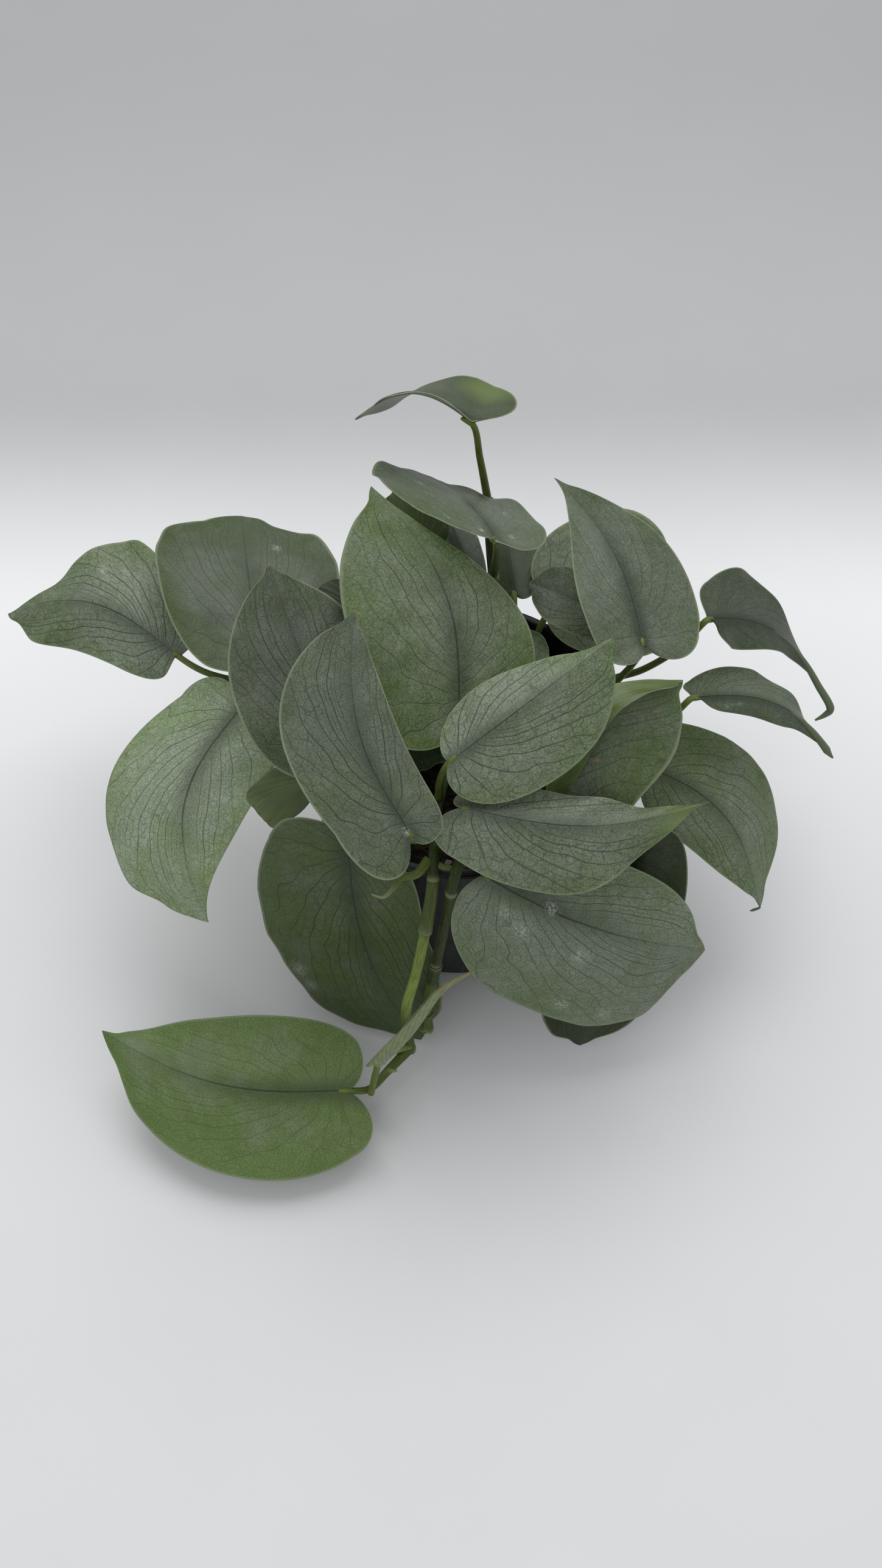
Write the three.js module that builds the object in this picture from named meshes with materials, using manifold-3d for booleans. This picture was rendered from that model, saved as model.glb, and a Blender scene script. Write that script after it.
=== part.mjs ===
// Satin pothos with silvery leaves, growing in a plain nursery pot.
// Units are millimetres, +Z is up, and the origin is the middle of the pot's foot on the table.
// The front of the plant, where two vines hang over the rim, faces -Y.
import * as THREE from 'three';
import { mergeVertices } from 'three/addons/utils/BufferGeometryUtils.js';
import Module from 'manifold-3d';

const wasm = await Module();
wasm.setup();

// Driving dimensions of the pot, a four inch nursery pot
const POT_HEIGHT = 97;
const RIM_RADIUS = 54;
const FOOT_RADIUS = 40.5;
const WALL = 1.2;
const FLOOR = 1.4;
const LIP_HEIGHT = 4;
const LIP_OVERHANG = 1.6;
const POT_SIDES = 40;
const DRAIN_HOLES = 6;
const DRAIN_RADIUS = 4;
const DRAIN_CIRCLE = 30;

// Soil, and how the stems stand in it
const SOIL_EDGE = 85;
const SOIL_CROWN = 87;
const SOIL_GAP = 0.4;
const HOLE_DEPTH = 12;
const CLEARANCE = 0.3;
const SEAT = 0.5;

// Plant tissue
const BLADE_THICKNESS = 0.8;
const PETIOLE_RADIUS = 1.3;
const STEM_RADIUS = 1.9;
const STALK_SIDES = 6;
const STALK_STEP = 9;
const POST_SIDES = 8;
const BLADE_ROWS = 10;
const BLADE_COLUMNS = 3;
const LOBE_SHARE = 0.4;
const VEIN_SPACING = 1.8;
const VEIN_SWEEP = 1.35;

// The leaf that is still rolled up: its line from the stalk to its tip, the roll's radii, and its stalk
const FURLED_LINE = [[-27, -92, 40], [-16, -88, 57], [-5, -80.5, 71.5], [3.5, -77.5, 76.5]];
const FURLED_RADII = [2.3, 2.4, 1.5, 0.7];
const FURLED_STALK = [[-26.5, -92, 42], [-28, -93.3, 30], [-29.4, -94, 18]];
const FURLED_STEPS = 9;
const FURLED_SIDES = 8;

// The finish of each kind of piece: its colour and roughness
const FINISHES = {
  silveryLeaf: [0x66756a, 0.55],
  greenLeaf: [0x4c6344, 0.5],
  youngLeaf: [0x8aa36b, 0.45],
  stem: [0x6f8a45, 0.45],
  pot: [0x1c1d1f, 0.5],
  soil: [0x2a2420, 0.95],
};

// The foot of a stem or petiole stands upright in the soil
function foot(x, y) {
  return [[x, y, SOIL_CROWN - HOLE_DEPTH], [x, y, SOIL_CROWN - 1], [x, y, SOIL_CROWN + 3]];
}

// The stems, each a list of points up from its foot
const STEMS = {
  front_vine: {
    radius: STEM_RADIUS,
    points: [
      ...foot(-1, -6), [-4, -18, 100], [-7, -34, 105], [-8, -50, 105], [-8.5, -58.5, 98],
      [-11, -64, 78], [-14, -69, 59], [-17.5, -73, 39], [-16.3, -77, 16],
    ],
  },
  side_vine: {
    radius: STEM_RADIUS,
    points: [
      ...foot(8, -14), [7, -30, 102], [4, -46, 108], [-1, -57, 106], [-4, -61.5, 85],
      [-7.5, -65, 58], [-10.5, -69, 34], [-11, -72, 22],
    ],
  },
  back_stem: {
    radius: STEM_RADIUS,
    points: [...foot(13, 43), [13, 47, 98], [12.5, 53, 103], [11, 66, 112], [10, 78, 123]],
  },
};

// The leaves. base is where the blade meets its petiole, and tip, left and right are points on the
// margin, seen from the upper face with the tip up. arch and bow bend the midrib out of the blade's
// plane and sideways, and each pair gives the left half and then the right half:
// curl is how far that half bends across its width, in degrees, wide is how far up the blade it is
// widest, full is how round (or, below zero, how pinched) its shoulder is, and lobe is the depth of its
// basal lobe. turn twists a half about the midrib towards the tip, in degrees, and finish is given where
// the leaf is greener than the rest. path leads from the blade to the petiole's foot, which stands in the
// soil, or on the stem that on names.
const LEAVES = [
  { name: 'leaf_top', base: [4, 78, 160], tip: [-34, 85, 153],
    left: [-4, 80, 166], right: [4, 110, 147],
    arch: 9, curl: [-10, 10], wide: [0.2, 0.2], full: [0, -0.2], lobe: [0.05, 0.25], turn: [0, -25],
    finish: 'greenLeaf',
    path: [[7, 78, 142], [10, 77.5, 122]], on: 'back_stem' },
  { name: 'leaf_back_silver', base: [11, 36, 152], tip: [-6, 79, 130],
    left: [-26, 65, 146], right: [26, 53, 140],
    arch: 2, curl: [-15, 15], wide: [0.32, 0.32], full: [-0.1, -0.1],
    path: [[12, 44, 136], [12, 52, 120], [12, 58, 106.5]], on: 'back_stem' },
  { name: 'leaf_upright', base: [0, -8, 120], tip: [-28, 54, 156],
    left: [-33, 2, 138], right: [24, 8, 124],
    arch: 3, bow: 9, curl: [25, 20], wide: [0.38, 0.1], full: [-0.35, -1.5], lobe: [0.1, 0.06],
    finish: 'greenLeaf',
    path: [[4, -2, 105], [6, 4]] },
  { name: 'leaf_far_left', base: [-94, 28, 101], tip: [-157, 57, 86],
    left: [-113, 28, 93], right: [-109, 72, 106],
    arch: 7, bow: 9, curl: [0, 10], wide: [0.3, 0.25], full: [0.3, -1.9], lobe: [-0.02, 0.09],
    path: [[-83, 18, 105], [-60, 10, 106], [-46, 6, 100], [-38, 4]] },
  { name: 'leaf_left_broad', base: [-64, 12, 119], tip: [-74, 76, 116],
    left: [-99, 45, 122], right: [-39, 42, 124],
    arch: 6, curl: [-10, 15], wide: [0.52, 0.52], full: [1, 0.4], lobe: [0.08, 0.11],
    finish: 'greenLeaf',
    path: [[-52, 12, 110], [-40, 14, 98], [-34, 14]] },
  { name: 'leaf_left_grey', base: [-37, -21, 120], tip: [-60, 30, 147],
    left: [-66, -21, 130], right: [-28, 7, 132],
    bow: -1, curl: [-15, 20], wide: [0.25, 0.32], full: [-0.2, -0.6],
    path: [[-36, -18, 106], [-36, -14]] },
  { name: 'leaf_front_left', base: [-15, -57, 127], tip: [-32, 6, 154],
    left: [-45, -53, 140], right: [-8, -46, 130],
    bow: -8, curl: [-15, 20], wide: [0.16, 0.13], full: [0.05, -0.3], lobe: [0.17, 0.05],
    path: [[-14, -52, 115], [-8, -44, 105]], on: 'front_vine' },
  { name: 'leaf_left_hanging', base: [-70, 1, 110], tip: [-83, -50, 58],
    left: [-60, -15, 98], right: [-113, -4, 86],
    arch: 4, bow: 13, curl: [10, -15], wide: [0.26, 0.34], full: [-0.9, 1.3],
    finish: 'greenLeaf',
    path: [[-60, 0, 106], [-47, -2, 101], [-40, -4]] },
  { name: 'leaf_low_left', base: [-35, -45, 102], tip: [-13, -68, 5],
    left: [-13, -56, 85], right: [-66, -43, 61],
    arch: 3, bow: 6, curl: [10, -15], wide: [0.32, 0.28], full: [0.25, 0.7], lobe: [-0.06, 0.11],
    finish: 'greenLeaf',
    path: [[-32, -39, 101.5], [-27, -33, 99], [-24, -29]] },
  { name: 'leaf_young_green', base: [-38, -95, 24], tip: [-120, -76, 30],
    left: [-66, -122, 12], right: [-56, -71, 30],
    arch: 2, bow: -8, curl: [10, 10], wide: [0.36, 0.28], full: [0.6, -0.7], lobe: [0.1, 0.05],
    finish: 'greenLeaf',
    path: [[-30, -92, 18], [-24, -86, 19], [-16.5, -77, 18]], on: 'front_vine' },
  { name: 'leaf_centre', base: [-3, -35, 133], tip: [46, -3, 152],
    left: [4, -15, 142], right: [31, -36, 127],
    arch: 2, wide: [0.25, 0.4], full: [-0.9, -0.2], lobe: [0.03, 0.08], turn: [-30, 0],
    path: [[-6, -32, 118], [-6.5, -31, 104]], on: 'front_vine' },
  { name: 'leaf_front_pointed', base: [1, -44, 121], tip: [78, -36, 112],
    left: [27, -36, 118], right: [29, -65, 104],
    arch: 3, bow: 7, wide: [0.3, 0.38], full: [-1.5, -1.2], lobe: [0.05, 0.11],
    path: [[1, -46, 114], [4, -46, 108]], on: 'side_vine' },
  { name: 'leaf_front_right', base: [8, -57, 101], tip: [80, -62, 62],
    left: [38, -44, 98], right: [19, -74, 46],
    arch: 4, bow: 3, curl: [10, -10], full: [0.2, 0.8], lobe: [0.08, 0.08],
    path: [[10, -52, 102], [12, -46, 98], [13, -40]] },
  { name: 'leaf_low_right', base: [59, -35, 80], tip: [42, -74, 13],
    left: [73, -50, 52], right: [33, -48, 44],
    arch: 3, full: [0.3, 0.3],
    path: [[54, -32, 95], [46, -26, 102], [38, -22]] },
  { name: 'leaf_right_hanging', base: [58, -13, 98], tip: [101, -42, 54],
    left: [93, 4, 84], right: [67, -25, 78],
    arch: 3, bow: -10, curl: [-10, 10], full: [0.35, -0.6], lobe: [0.13, -0.06],
    path: [[55, -12, 102], [50, -11, 103], [44, -9, 99], [41, -8]] },
  { name: 'leaf_folded', base: [28, -31, 107], tip: [70, -1, 127],
    left: [50, -14, 131], right: [56, -33, 108],
    bow: -17, curl: [20, 10], wide: [0.5, 0.42], full: [-0.1, -0.3], lobe: [0, 0.05],
    path: [[26, -28, 98], [24, -24]] },
  { name: 'leaf_right_upright', base: [58, 11, 130], tip: [31, 68, 144],
    left: [39, 17, 137], right: [75, 18, 138],
    arch: 2, bow: 5, wide: [0.26, 0.1], full: [-1, -0.35], lobe: [0.07, 0.1],
    path: [[56, 13, 117], [50, 12, 105], [45, 10]] },
  { name: 'leaf_back_green', base: [33, 51, 103], tip: [78, 56, 98],
    left: [54, 87, 107], right: [53, 27, 101],
    arch: 2, full: [-0.3, 0], lobe: [0.2, 0.1],
    path: [[30, 45, 101.5], [27, 40, 98], [26, 36]] },
  { name: 'leaf_right_small', base: [51, 31, 118], tip: [23, 43, 121],
    left: [37, 23, 119], right: [44, 44, 124],
    arch: 1,
    path: [[50, 26, 110], [42, 22, 100], [38, 20]] },
  { name: 'leaf_right_curled', base: [79, 18, 134], tip: [125, 15, 88],
    left: [90, 44, 127], right: [87, 13, 125],
    arch: 3, bow: -11, curl: [20, 10], wide: [0.16, 0.14], full: [-1.75, -1.6], lobe: [0.05, -0.04],
    path: [[71, 16, 122], [60, 17, 108], [50, 17, 102], [43, 16]] },
  { name: 'leaf_right_narrow', base: [74, -3, 121], tip: [122, -6, 92],
    left: [95, 14, 112], right: [93, -3, 110],
    arch: 6, bow: -6, curl: [10, 10], wide: [0.4, 0.4], full: [-0.75, -1.3], lobe: [0.05, -0.05],
    path: [[68, -4, 113], [57, -1, 107], [48, -1, 102], [42, -1]] },
  { name: 'leaf_back_dark', base: [19, 56, 100], tip: [17, 88, 98],
    left: [10, 74, 97], right: [28, 69, 100],
    arch: 1, wide: [0.4, 0.4], full: [0.5, 0.5],
    finish: 'greenLeaf',
    path: [[19, 51, 101.5], [19, 46, 98], [19, 42]] },
  { name: 'leaf_back_left_dark', base: [-1, 62, 100], tip: [-9, 85, 101],
    left: [-13, 74, 99], right: [5, 74, 99],
    arch: 1,
    finish: 'greenLeaf',
    path: [[-2, 56, 102], [-5, 47, 98], [-6, 42]] },
  { name: 'leaf_inner_centre', base: [3, 21, 113], tip: [30, 16, 113],
    left: [17, 31, 114], right: [14, 9, 112],
    arch: 1,
    path: [[-2, 22, 104], [-4, 22]] },
  { name: 'leaf_inner_left', base: [-25, 19, 128], tip: [-48, 28, 130],
    left: [-32, 32, 134], right: [-41, 12, 128],
    arch: 1,
    path: [[-22, 21, 114], [-22, 24]] },
  { name: 'leaf_low_far_left', base: [-46, -22, 104], tip: [-63, -32, 95],
    left: [-62, -17, 98], right: [-50, -34, 103],
    arch: 1, full: [0.6, 0.6],
    finish: 'greenLeaf',
    path: [[-44, -18, 100], [-41, -12]] },
  { name: 'leaf_inner_front', base: [-27, 13, 104], tip: [-10, -19, 104],
    left: [-4, 1, 104], right: [-28, -11, 104],
    arch: 1,
    path: [[-28, 14, 98], [-28, 14]] },
  { name: 'leaf_back_narrow', base: [7, 49, 104], tip: [-3, 83, 108],
    left: [-2, 64, 105], right: [7, 76, 103],
    arch: 1, wide: [0.45, 0.7], full: [-0.2, -0.2], lobe: [0.11, 0],
    path: [[7, 43, 98], [6, 38]] },
  { name: 'leaf_back_left', base: [-13, 65, 112], tip: [-22, 86, 118],
    left: [-4, 78, 114], right: [-25, 69, 114],
    arch: 1,
    finish: 'greenLeaf',
    path: [[-12, 56, 106], [-12, 48, 99], [-12, 42]] },
  { name: 'leaf_inner_back', base: [2, 32, 104], tip: [3, 55, 109],
    left: [-4, 47, 106], right: [8, 47, 106],
    arch: 1, full: [0.4, 0.4],
    path: [[2, 31, 97], [2, 31]] },
];

function vec(point) {
  return new THREE.Vector3(...point);
}

// A closed mesh as a solid, with its shared corners merged
function solidOf(geometry) {
  const bare = geometry.clone();
  bare.deleteAttribute('normal');
  bare.deleteAttribute('uv');
  const merged = mergeVertices(bare, 1e-4);
  return new wasm.Manifold(new wasm.Mesh({
    numProp: 3,
    vertProperties: new Float32Array(merged.attributes.position.array),
    triVerts: new Uint32Array(merged.index.array),
  }));
}

function geometryOf(solid) {
  const mesh = solid.getMesh();
  const geometry = new THREE.BufferGeometry();
  geometry.setAttribute('position', new THREE.BufferAttribute(new Float32Array(mesh.vertProperties), 3));
  geometry.setIndex(new THREE.BufferAttribute(new Uint32Array(mesh.triVerts), 1));
  geometry.computeVertexNormals();
  return geometry;
}

// A round stalk through the points
function stalk(points, radius) {
  const curve = new THREE.CatmullRomCurve3(points.map(vec), false, 'centripetal');
  const outline = new THREE.Shape();
  for (let k = 0; k < STALK_SIDES; k += 1) {
    const angle = (2 * Math.PI * k) / STALK_SIDES;
    const corner = [radius * Math.cos(angle), radius * Math.sin(angle)];
    if (k === 0) outline.moveTo(...corner);
    else outline.lineTo(...corner);
  }
  outline.closePath();
  const steps = Math.max(3, Math.round(curve.getLength() / STALK_STEP));
  return solidOf(new THREE.ExtrudeGeometry(outline, { steps, extrudePath: curve, bevelEnabled: false }));
}

function cubic(a, b, c, d, t) {
  const u = 1 - t;
  return u * u * u * a + 3 * u * u * t * b + 3 * u * t * t * c + t * t * t * d;
}

// The margin of one half of a blade, from the notch at s = 0 round the lobe to the tip at s = 1:
// x across the half, 1 at its widest, and y along the blade, 0 at the notch and 1 at the tip
function margin(s, wide, full, lobe) {
  if (s < LOBE_SHARE) {
    const t = s / LOBE_SHARE;
    return [cubic(0, 0.1, 0.95, 1, t), cubic(0, -1.8 * lobe, -1.55 * lobe, wide, t)];
  }
  const t = (s - LOBE_SHARE) / (1 - LOBE_SHARE);
  const rest = 1 - wide;
  const pinch = full > 0 ? 0.35 : 0.52;
  return [
    cubic(1, 1.04, Math.max(0.05, 0.58 + pinch * full), 0, t),
    cubic(wide, wide + rest * (0.66 + 0.22 * full), wide + rest * (0.82 + 0.1 * full), 1, t),
  ];
}

// The bent surface of a blade: a point for x from -1 (left margin) to 1 (right margin) and y along it
function bladeSurface(leaf) {
  const { arch = 0, bow = 0, curl = [0, 0], wide = [0.34, 0.34], turn = [0, 0] } = leaf;
  const base = vec(leaf.base);
  const along = vec(leaf.tip).sub(base);
  const axis = along.clone().normalize();
  const up = new THREE.Vector3().crossVectors(vec(leaf.right).sub(vec(leaf.left)), along).normalize();
  const across = new THREE.Vector3().crossVectors(axis, up).normalize();
  const midrib = (y) => {
    const bend = Math.sin(Math.PI * THREE.MathUtils.clamp(y, 0, 1));
    return base.clone().addScaledVector(along, y).addScaledVector(up, arch * bend)
      .addScaledVector(across, bow * bend);
  };
  const sides = [vec(leaf.left).sub(midrib(wide[0])), vec(leaf.right).sub(midrib(wide[1]))];
  return (x, y) => {
    const half = x > 0 ? 1 : 0;
    const twist = THREE.MathUtils.degToRad(turn[half]) * (half ? -1 : 1);
    const turned = twist * (THREE.MathUtils.clamp(y, 0, 1) - wide[half]);
    const side = sides[half].clone().applyAxisAngle(axis, turned);
    const width = side.length();
    side.normalize();
    const lift = up.clone().addScaledVector(side, -up.dot(side)).normalize();
    const bend = THREE.MathUtils.degToRad(curl[half] || 0.05);
    const radius = width / (2 * Math.sin(bend / 2));
    const angle = bend * Math.abs(x) - bend / 2;
    return midrib(y)
      .addScaledVector(side, radius * (Math.sin(angle) + Math.sin(bend / 2)))
      .addScaledVector(lift, -radius * (Math.cos(angle) - Math.cos(bend / 2)));
  };
}

// The blade's surface as rows of points, each row following a side vein from the midrib to the margin
function bladeGrid(leaf) {
  const { wide = [0.34, 0.34], full = [0, 0], lobe = [0.11, 0.11] } = leaf;
  const surface = bladeSurface(leaf);
  const rows = [];
  for (let r = 0; r <= BLADE_ROWS; r += 1) {
    const s = r / BLADE_ROWS;
    const start = s ** VEIN_SPACING;
    const row = [];
    for (let c = -BLADE_COLUMNS; c <= BLADE_COLUMNS; c += 1) {
      const half = c > 0 ? 1 : 0;
      const [x, y] = margin(s, wide[half], full[half], lobe[half]);
      const out = Math.abs(c) / BLADE_COLUMNS;
      row.push(surface(Math.sign(c) * x * out, start + (y - start) * out ** VEIN_SWEEP));
    }
    rows.push(row);
  }
  return rows;
}

// The blade as a thin closed solid. Both faces are split into triangles in the same way.
function bladeSolid(leaf) {
  const rows = bladeGrid(leaf);
  const columns = rows[0].length;
  const middle = BLADE_COLUMNS;
  const points = [];
  const index = new Map();
  const key = (r, c) => ((r === 0 || r === BLADE_ROWS) ? `${r}` : `${r},${c}`);
  rows.forEach((row, r) => row.forEach((point, c) => {
    if (index.has(key(r, c))) return;
    index.set(key(r, c), points.length);
    points.push((r === 0 || r === BLADE_ROWS) ? row[middle] : point);
  }));
  const faces = [];
  const addFace = (a, b, c) => {
    if (a !== b && b !== c && c !== a) faces.push([a, b, c]);
  };
  for (let r = 0; r < BLADE_ROWS; r += 1) {
    for (let c = 0; c < columns - 1; c += 1) {
      const a = index.get(key(r, c));
      const b = index.get(key(r, c + 1));
      const d = index.get(key(r + 1, c));
      const e = index.get(key(r + 1, c + 1));
      if (c < middle) {
        addFace(a, b, e);
        addFace(a, e, d);
      } else {
        addFace(a, b, d);
        addFace(b, e, d);
      }
    }
  }
  const normals = points.map(() => new THREE.Vector3());
  faces.forEach(([a, b, c]) => {
    const normal = new THREE.Vector3().crossVectors(
      points[b].clone().sub(points[a]),
      points[c].clone().sub(points[a]),
    );
    [a, b, c].forEach((k) => normals[k].add(normal));
  });
  normals.forEach((normal) => normal.normalize());
  const half = BLADE_THICKNESS / 2;
  const upper = points.map((point, k) => point.clone().addScaledVector(normals[k], half));
  const lower = points.map((point, k) => point.clone().addScaledVector(normals[k], -half));
  const count = points.length;
  const triangles = [];
  faces.forEach(([a, b, c]) => triangles.push(a, b, c, count + a, count + c, count + b));
  const edges = new Map();
  faces.forEach(([a, b, c]) => [[a, b], [b, c], [c, a]].forEach(([p, q]) => {
    if (edges.has(`${q},${p}`)) edges.delete(`${q},${p}`);
    else edges.set(`${p},${q}`, [p, q]);
  }));
  edges.forEach(([p, q]) => triangles.push(p, count + p, q, q, count + p, count + q));
  const geometry = new THREE.BufferGeometry();
  const coordinates = [...upper, ...lower].flatMap((point) => point.toArray());
  geometry.setAttribute('position', new THREE.BufferAttribute(new Float32Array(coordinates), 3));
  geometry.setIndex(triangles);
  return solidOf(geometry);
}

// Where the petiole stands: upright in the soil, or on a stem
function petiolePoints(leaf) {
  const points = [leaf.base, ...leaf.path];
  if (leaf.on) return points;
  const [x, y] = points.pop();
  return [...points, ...foot(x, y).reverse()];
}

// The middle line of a stem, lengthened a little past both ends
function stretched(points, extra) {
  const last = points.length - 1;
  const beyond = (end, inner) => {
    const way = vec(end).sub(vec(inner)).normalize();
    return vec(end).addScaledVector(way, extra).toArray();
  };
  return [beyond(points[0], points[1]), ...points.slice(1, last), beyond(points[last], points[last - 1])];
}

// The biggest of a solid's separate bodies
function largest(solid) {
  return solid.decompose().reduce((best, body) => (body.volume() > best.volume() ? body : best));
}

// A leaf is its blade and its petiole in one piece, cut clear of the stem that bears it
function leafSolid(leaf) {
  const whole = bladeSolid(leaf).add(stalk(petiolePoints(leaf), PETIOLE_RADIUS));
  if (!leaf.on) return whole;
  const { points, radius } = STEMS[leaf.on];
  return largest(whole.subtract(stalk(stretched(points, CLEARANCE), radius + SEAT)));
}

function lathe(profile) {
  const points = profile.map(([radius, height]) => new THREE.Vector2(radius, height));
  const geometry = new THREE.LatheGeometry(points, POT_SIDES);
  geometry.rotateX(Math.PI / 2);
  return solidOf(geometry);
}

function innerRadius(height) {
  const top = RIM_RADIUS - LIP_OVERHANG - WALL;
  const bottom = FOOT_RADIUS - WALL;
  return bottom + ((top - bottom) * height) / POT_HEIGHT;
}

// An upright post whose flat sides lie at the radius
function post(x, y, radius, bottom, top) {
  const corner = radius / Math.cos(Math.PI / POST_SIDES);
  const geometry = new THREE.CylinderGeometry(corner, corner, top - bottom, POST_SIDES);
  geometry.rotateX(Math.PI / 2);
  geometry.translate(x, y, (top + bottom) / 2);
  return solidOf(geometry);
}

function potSolid() {
  const lipBottom = POT_HEIGHT - LIP_HEIGHT;
  let pot = lathe([
    [0, 0],
    [FOOT_RADIUS, 0],
    [innerRadius(lipBottom) + WALL, lipBottom],
    [RIM_RADIUS, lipBottom],
    [RIM_RADIUS, POT_HEIGHT],
    [innerRadius(POT_HEIGHT), POT_HEIGHT],
    [innerRadius(FLOOR), FLOOR],
    [0, FLOOR],
  ]);
  for (let k = 0; k < DRAIN_HOLES; k += 1) {
    const angle = (2 * Math.PI * (k + 0.5)) / DRAIN_HOLES;
    const [x, y] = [DRAIN_CIRCLE * Math.cos(angle), DRAIN_CIRCLE * Math.sin(angle)];
    pot = pot.subtract(post(x, y, DRAIN_RADIUS, -1, FLOOR + 1));
  }
  return pot;
}

function soilSolid(feet) {
  const bottom = FLOOR + SOIL_GAP;
  let soil = lathe([
    [0, bottom],
    [innerRadius(bottom) - SOIL_GAP, bottom],
    [innerRadius(SOIL_EDGE) - SOIL_GAP, SOIL_EDGE],
    [innerRadius(SOIL_EDGE) * 0.5, SOIL_CROWN - 0.5],
    [0, SOIL_CROWN],
  ]);
  feet.forEach(([x, y, radius]) => {
    const depth = SOIL_CROWN - HOLE_DEPTH - CLEARANCE;
    soil = soil.subtract(post(x, y, radius, depth, SOIL_CROWN + 4));
  });
  return soil;
}

// A blade still rolled up, tapering from where it leaves its sheath to its thin tip
function furledSolid() {
  const curve = new THREE.CatmullRomCurve3(FURLED_LINE.map(vec), false, 'centripetal');
  const positions = [];
  const frames = curve.computeFrenetFrames(FURLED_STEPS, false);
  for (let k = 0; k <= FURLED_STEPS; k += 1) {
    const place = (k / FURLED_STEPS) * (FURLED_RADII.length - 1);
    const low = Math.min(FURLED_RADII.length - 2, Math.floor(place));
    const radius = THREE.MathUtils.lerp(FURLED_RADII[low], FURLED_RADII[low + 1], place - low);
    for (let c = 0; c < FURLED_SIDES; c += 1) {
      const angle = (2 * Math.PI * c) / FURLED_SIDES;
      positions.push(curve.getPointAt(k / FURLED_STEPS)
        .addScaledVector(frames.normals[k], radius * Math.cos(angle))
        .addScaledVector(frames.binormals[k], radius * Math.sin(angle)));
    }
  }
  const triangles = [];
  for (let k = 0; k < FURLED_STEPS; k += 1) {
    for (let c = 0; c < FURLED_SIDES; c += 1) {
      const a = k * FURLED_SIDES + c;
      const b = k * FURLED_SIDES + ((c + 1) % FURLED_SIDES);
      triangles.push(a, b, a + FURLED_SIDES, b, b + FURLED_SIDES, a + FURLED_SIDES);
    }
  }
  for (let c = 1; c < FURLED_SIDES - 1; c += 1) {
    const end = FURLED_STEPS * FURLED_SIDES;
    triangles.push(0, c + 1, c, end, end + c, end + c + 1);
  }
  const geometry = new THREE.BufferGeometry();
  const coordinates = positions.flatMap((point) => point.toArray());
  geometry.setAttribute('position', new THREE.BufferAttribute(new Float32Array(coordinates), 3));
  geometry.setIndex(triangles);
  const bearer = LEAVES.find(({ name }) => name === 'leaf_young_green');
  const whole = solidOf(geometry).add(stalk(FURLED_STALK, PETIOLE_RADIUS));
  return largest(whole.subtract(stalk(petiolePoints(bearer), PETIOLE_RADIUS + SEAT)));
}

const plant = new THREE.Group();
plant.name = 'potted_satin_pothos';

function place(name, solid, finish) {
  const [color, roughness] = FINISHES[finish];
  const material = new THREE.MeshStandardMaterial({ color, roughness, metalness: 0 });
  const mesh = new THREE.Mesh(geometryOf(solid), material);
  mesh.name = name;
  plant.add(mesh);
}

const feet = [];
LEAVES.filter((leaf) => !leaf.on).forEach((leaf) => {
  const [x, y] = leaf.path[leaf.path.length - 1];
  feet.push([x, y, PETIOLE_RADIUS + CLEARANCE]);
});
Object.values(STEMS).forEach(({ points, radius }) => {
  feet.push([points[0][0], points[0][1], radius + CLEARANCE]);
});

place('pot', potSolid(), 'pot');
place('soil', soilSolid(feet), 'soil');
Object.entries(STEMS).forEach(([name, { points, radius }]) => {
  place(name, stalk(points, radius), 'stem');
});
LEAVES.forEach((leaf) => place(leaf.name, leafSolid(leaf), leaf.finish || 'silveryLeaf'));
place('leaf_furled', furledSolid(), 'youngLeaf');

export default plant;
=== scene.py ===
# %% [markdown]
# # A potted satin pothos
#
# The real object is a young vining houseplant in a black nursery pot. Its heart-shaped leaves are
# silvery grey green above, with fine dark veins, and yellow green below. Each leaf stands on a smooth
# round stalk, and two vines hang over the front of the pot.
#
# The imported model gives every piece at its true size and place. This script keeps that frame, and puts
# a finer piece over each plain solid: a thin bent leaf with veins, a stalk that tapers, a pot with soft
# edges. Everything here is in millimetres until a mesh is made, because leaves are easy to think of in
# millimetres.

# %% Load the frame
import math

import bmesh
import bpy
import numpy as np
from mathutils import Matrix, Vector, noise


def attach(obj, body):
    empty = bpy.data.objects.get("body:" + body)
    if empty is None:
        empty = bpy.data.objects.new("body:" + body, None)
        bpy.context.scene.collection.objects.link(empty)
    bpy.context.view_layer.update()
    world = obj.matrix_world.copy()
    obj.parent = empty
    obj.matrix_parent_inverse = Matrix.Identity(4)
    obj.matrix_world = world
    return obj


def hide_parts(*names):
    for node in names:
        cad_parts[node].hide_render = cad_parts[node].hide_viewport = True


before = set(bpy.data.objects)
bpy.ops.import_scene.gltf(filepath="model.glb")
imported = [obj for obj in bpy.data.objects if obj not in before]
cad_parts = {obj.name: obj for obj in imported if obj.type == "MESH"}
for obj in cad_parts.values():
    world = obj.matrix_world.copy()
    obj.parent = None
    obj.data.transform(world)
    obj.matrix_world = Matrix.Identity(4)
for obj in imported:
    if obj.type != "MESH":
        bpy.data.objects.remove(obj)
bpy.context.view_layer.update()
MM = 0.001

# %% [markdown]
# ## The camera
#
# The picture was taken from above and in front, by a hand-held camera tilted 58 degrees down. The same
# tilt, distance and lens keep every leaf's outline where the picture has it. The lens is given for a
# 36 mm tall frame.

# %% Camera
CAMERA_PLACE = (-5.9, -334.9, 593.3)
CAMERA_TILT = math.radians(32.37)
CAMERA_LENS = 41.93

camera_data = bpy.data.cameras.new("camera")
camera_data.lens = CAMERA_LENS
camera_data.sensor_width = 36
camera_data.clip_start = 0.01
camera = bpy.data.objects.new("camera", camera_data)
camera.location = Vector(CAMERA_PLACE) * MM
camera.rotation_euler = (CAMERA_TILT, 0, 0)
bpy.context.scene.collection.objects.link(camera)
bpy.context.scene.camera = camera
bpy.context.scene.view_settings.view_transform = "Standard"
print("camera", round((Vector(CAMERA_PLACE) * MM).length, 3), "m from the pot's foot")

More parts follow.
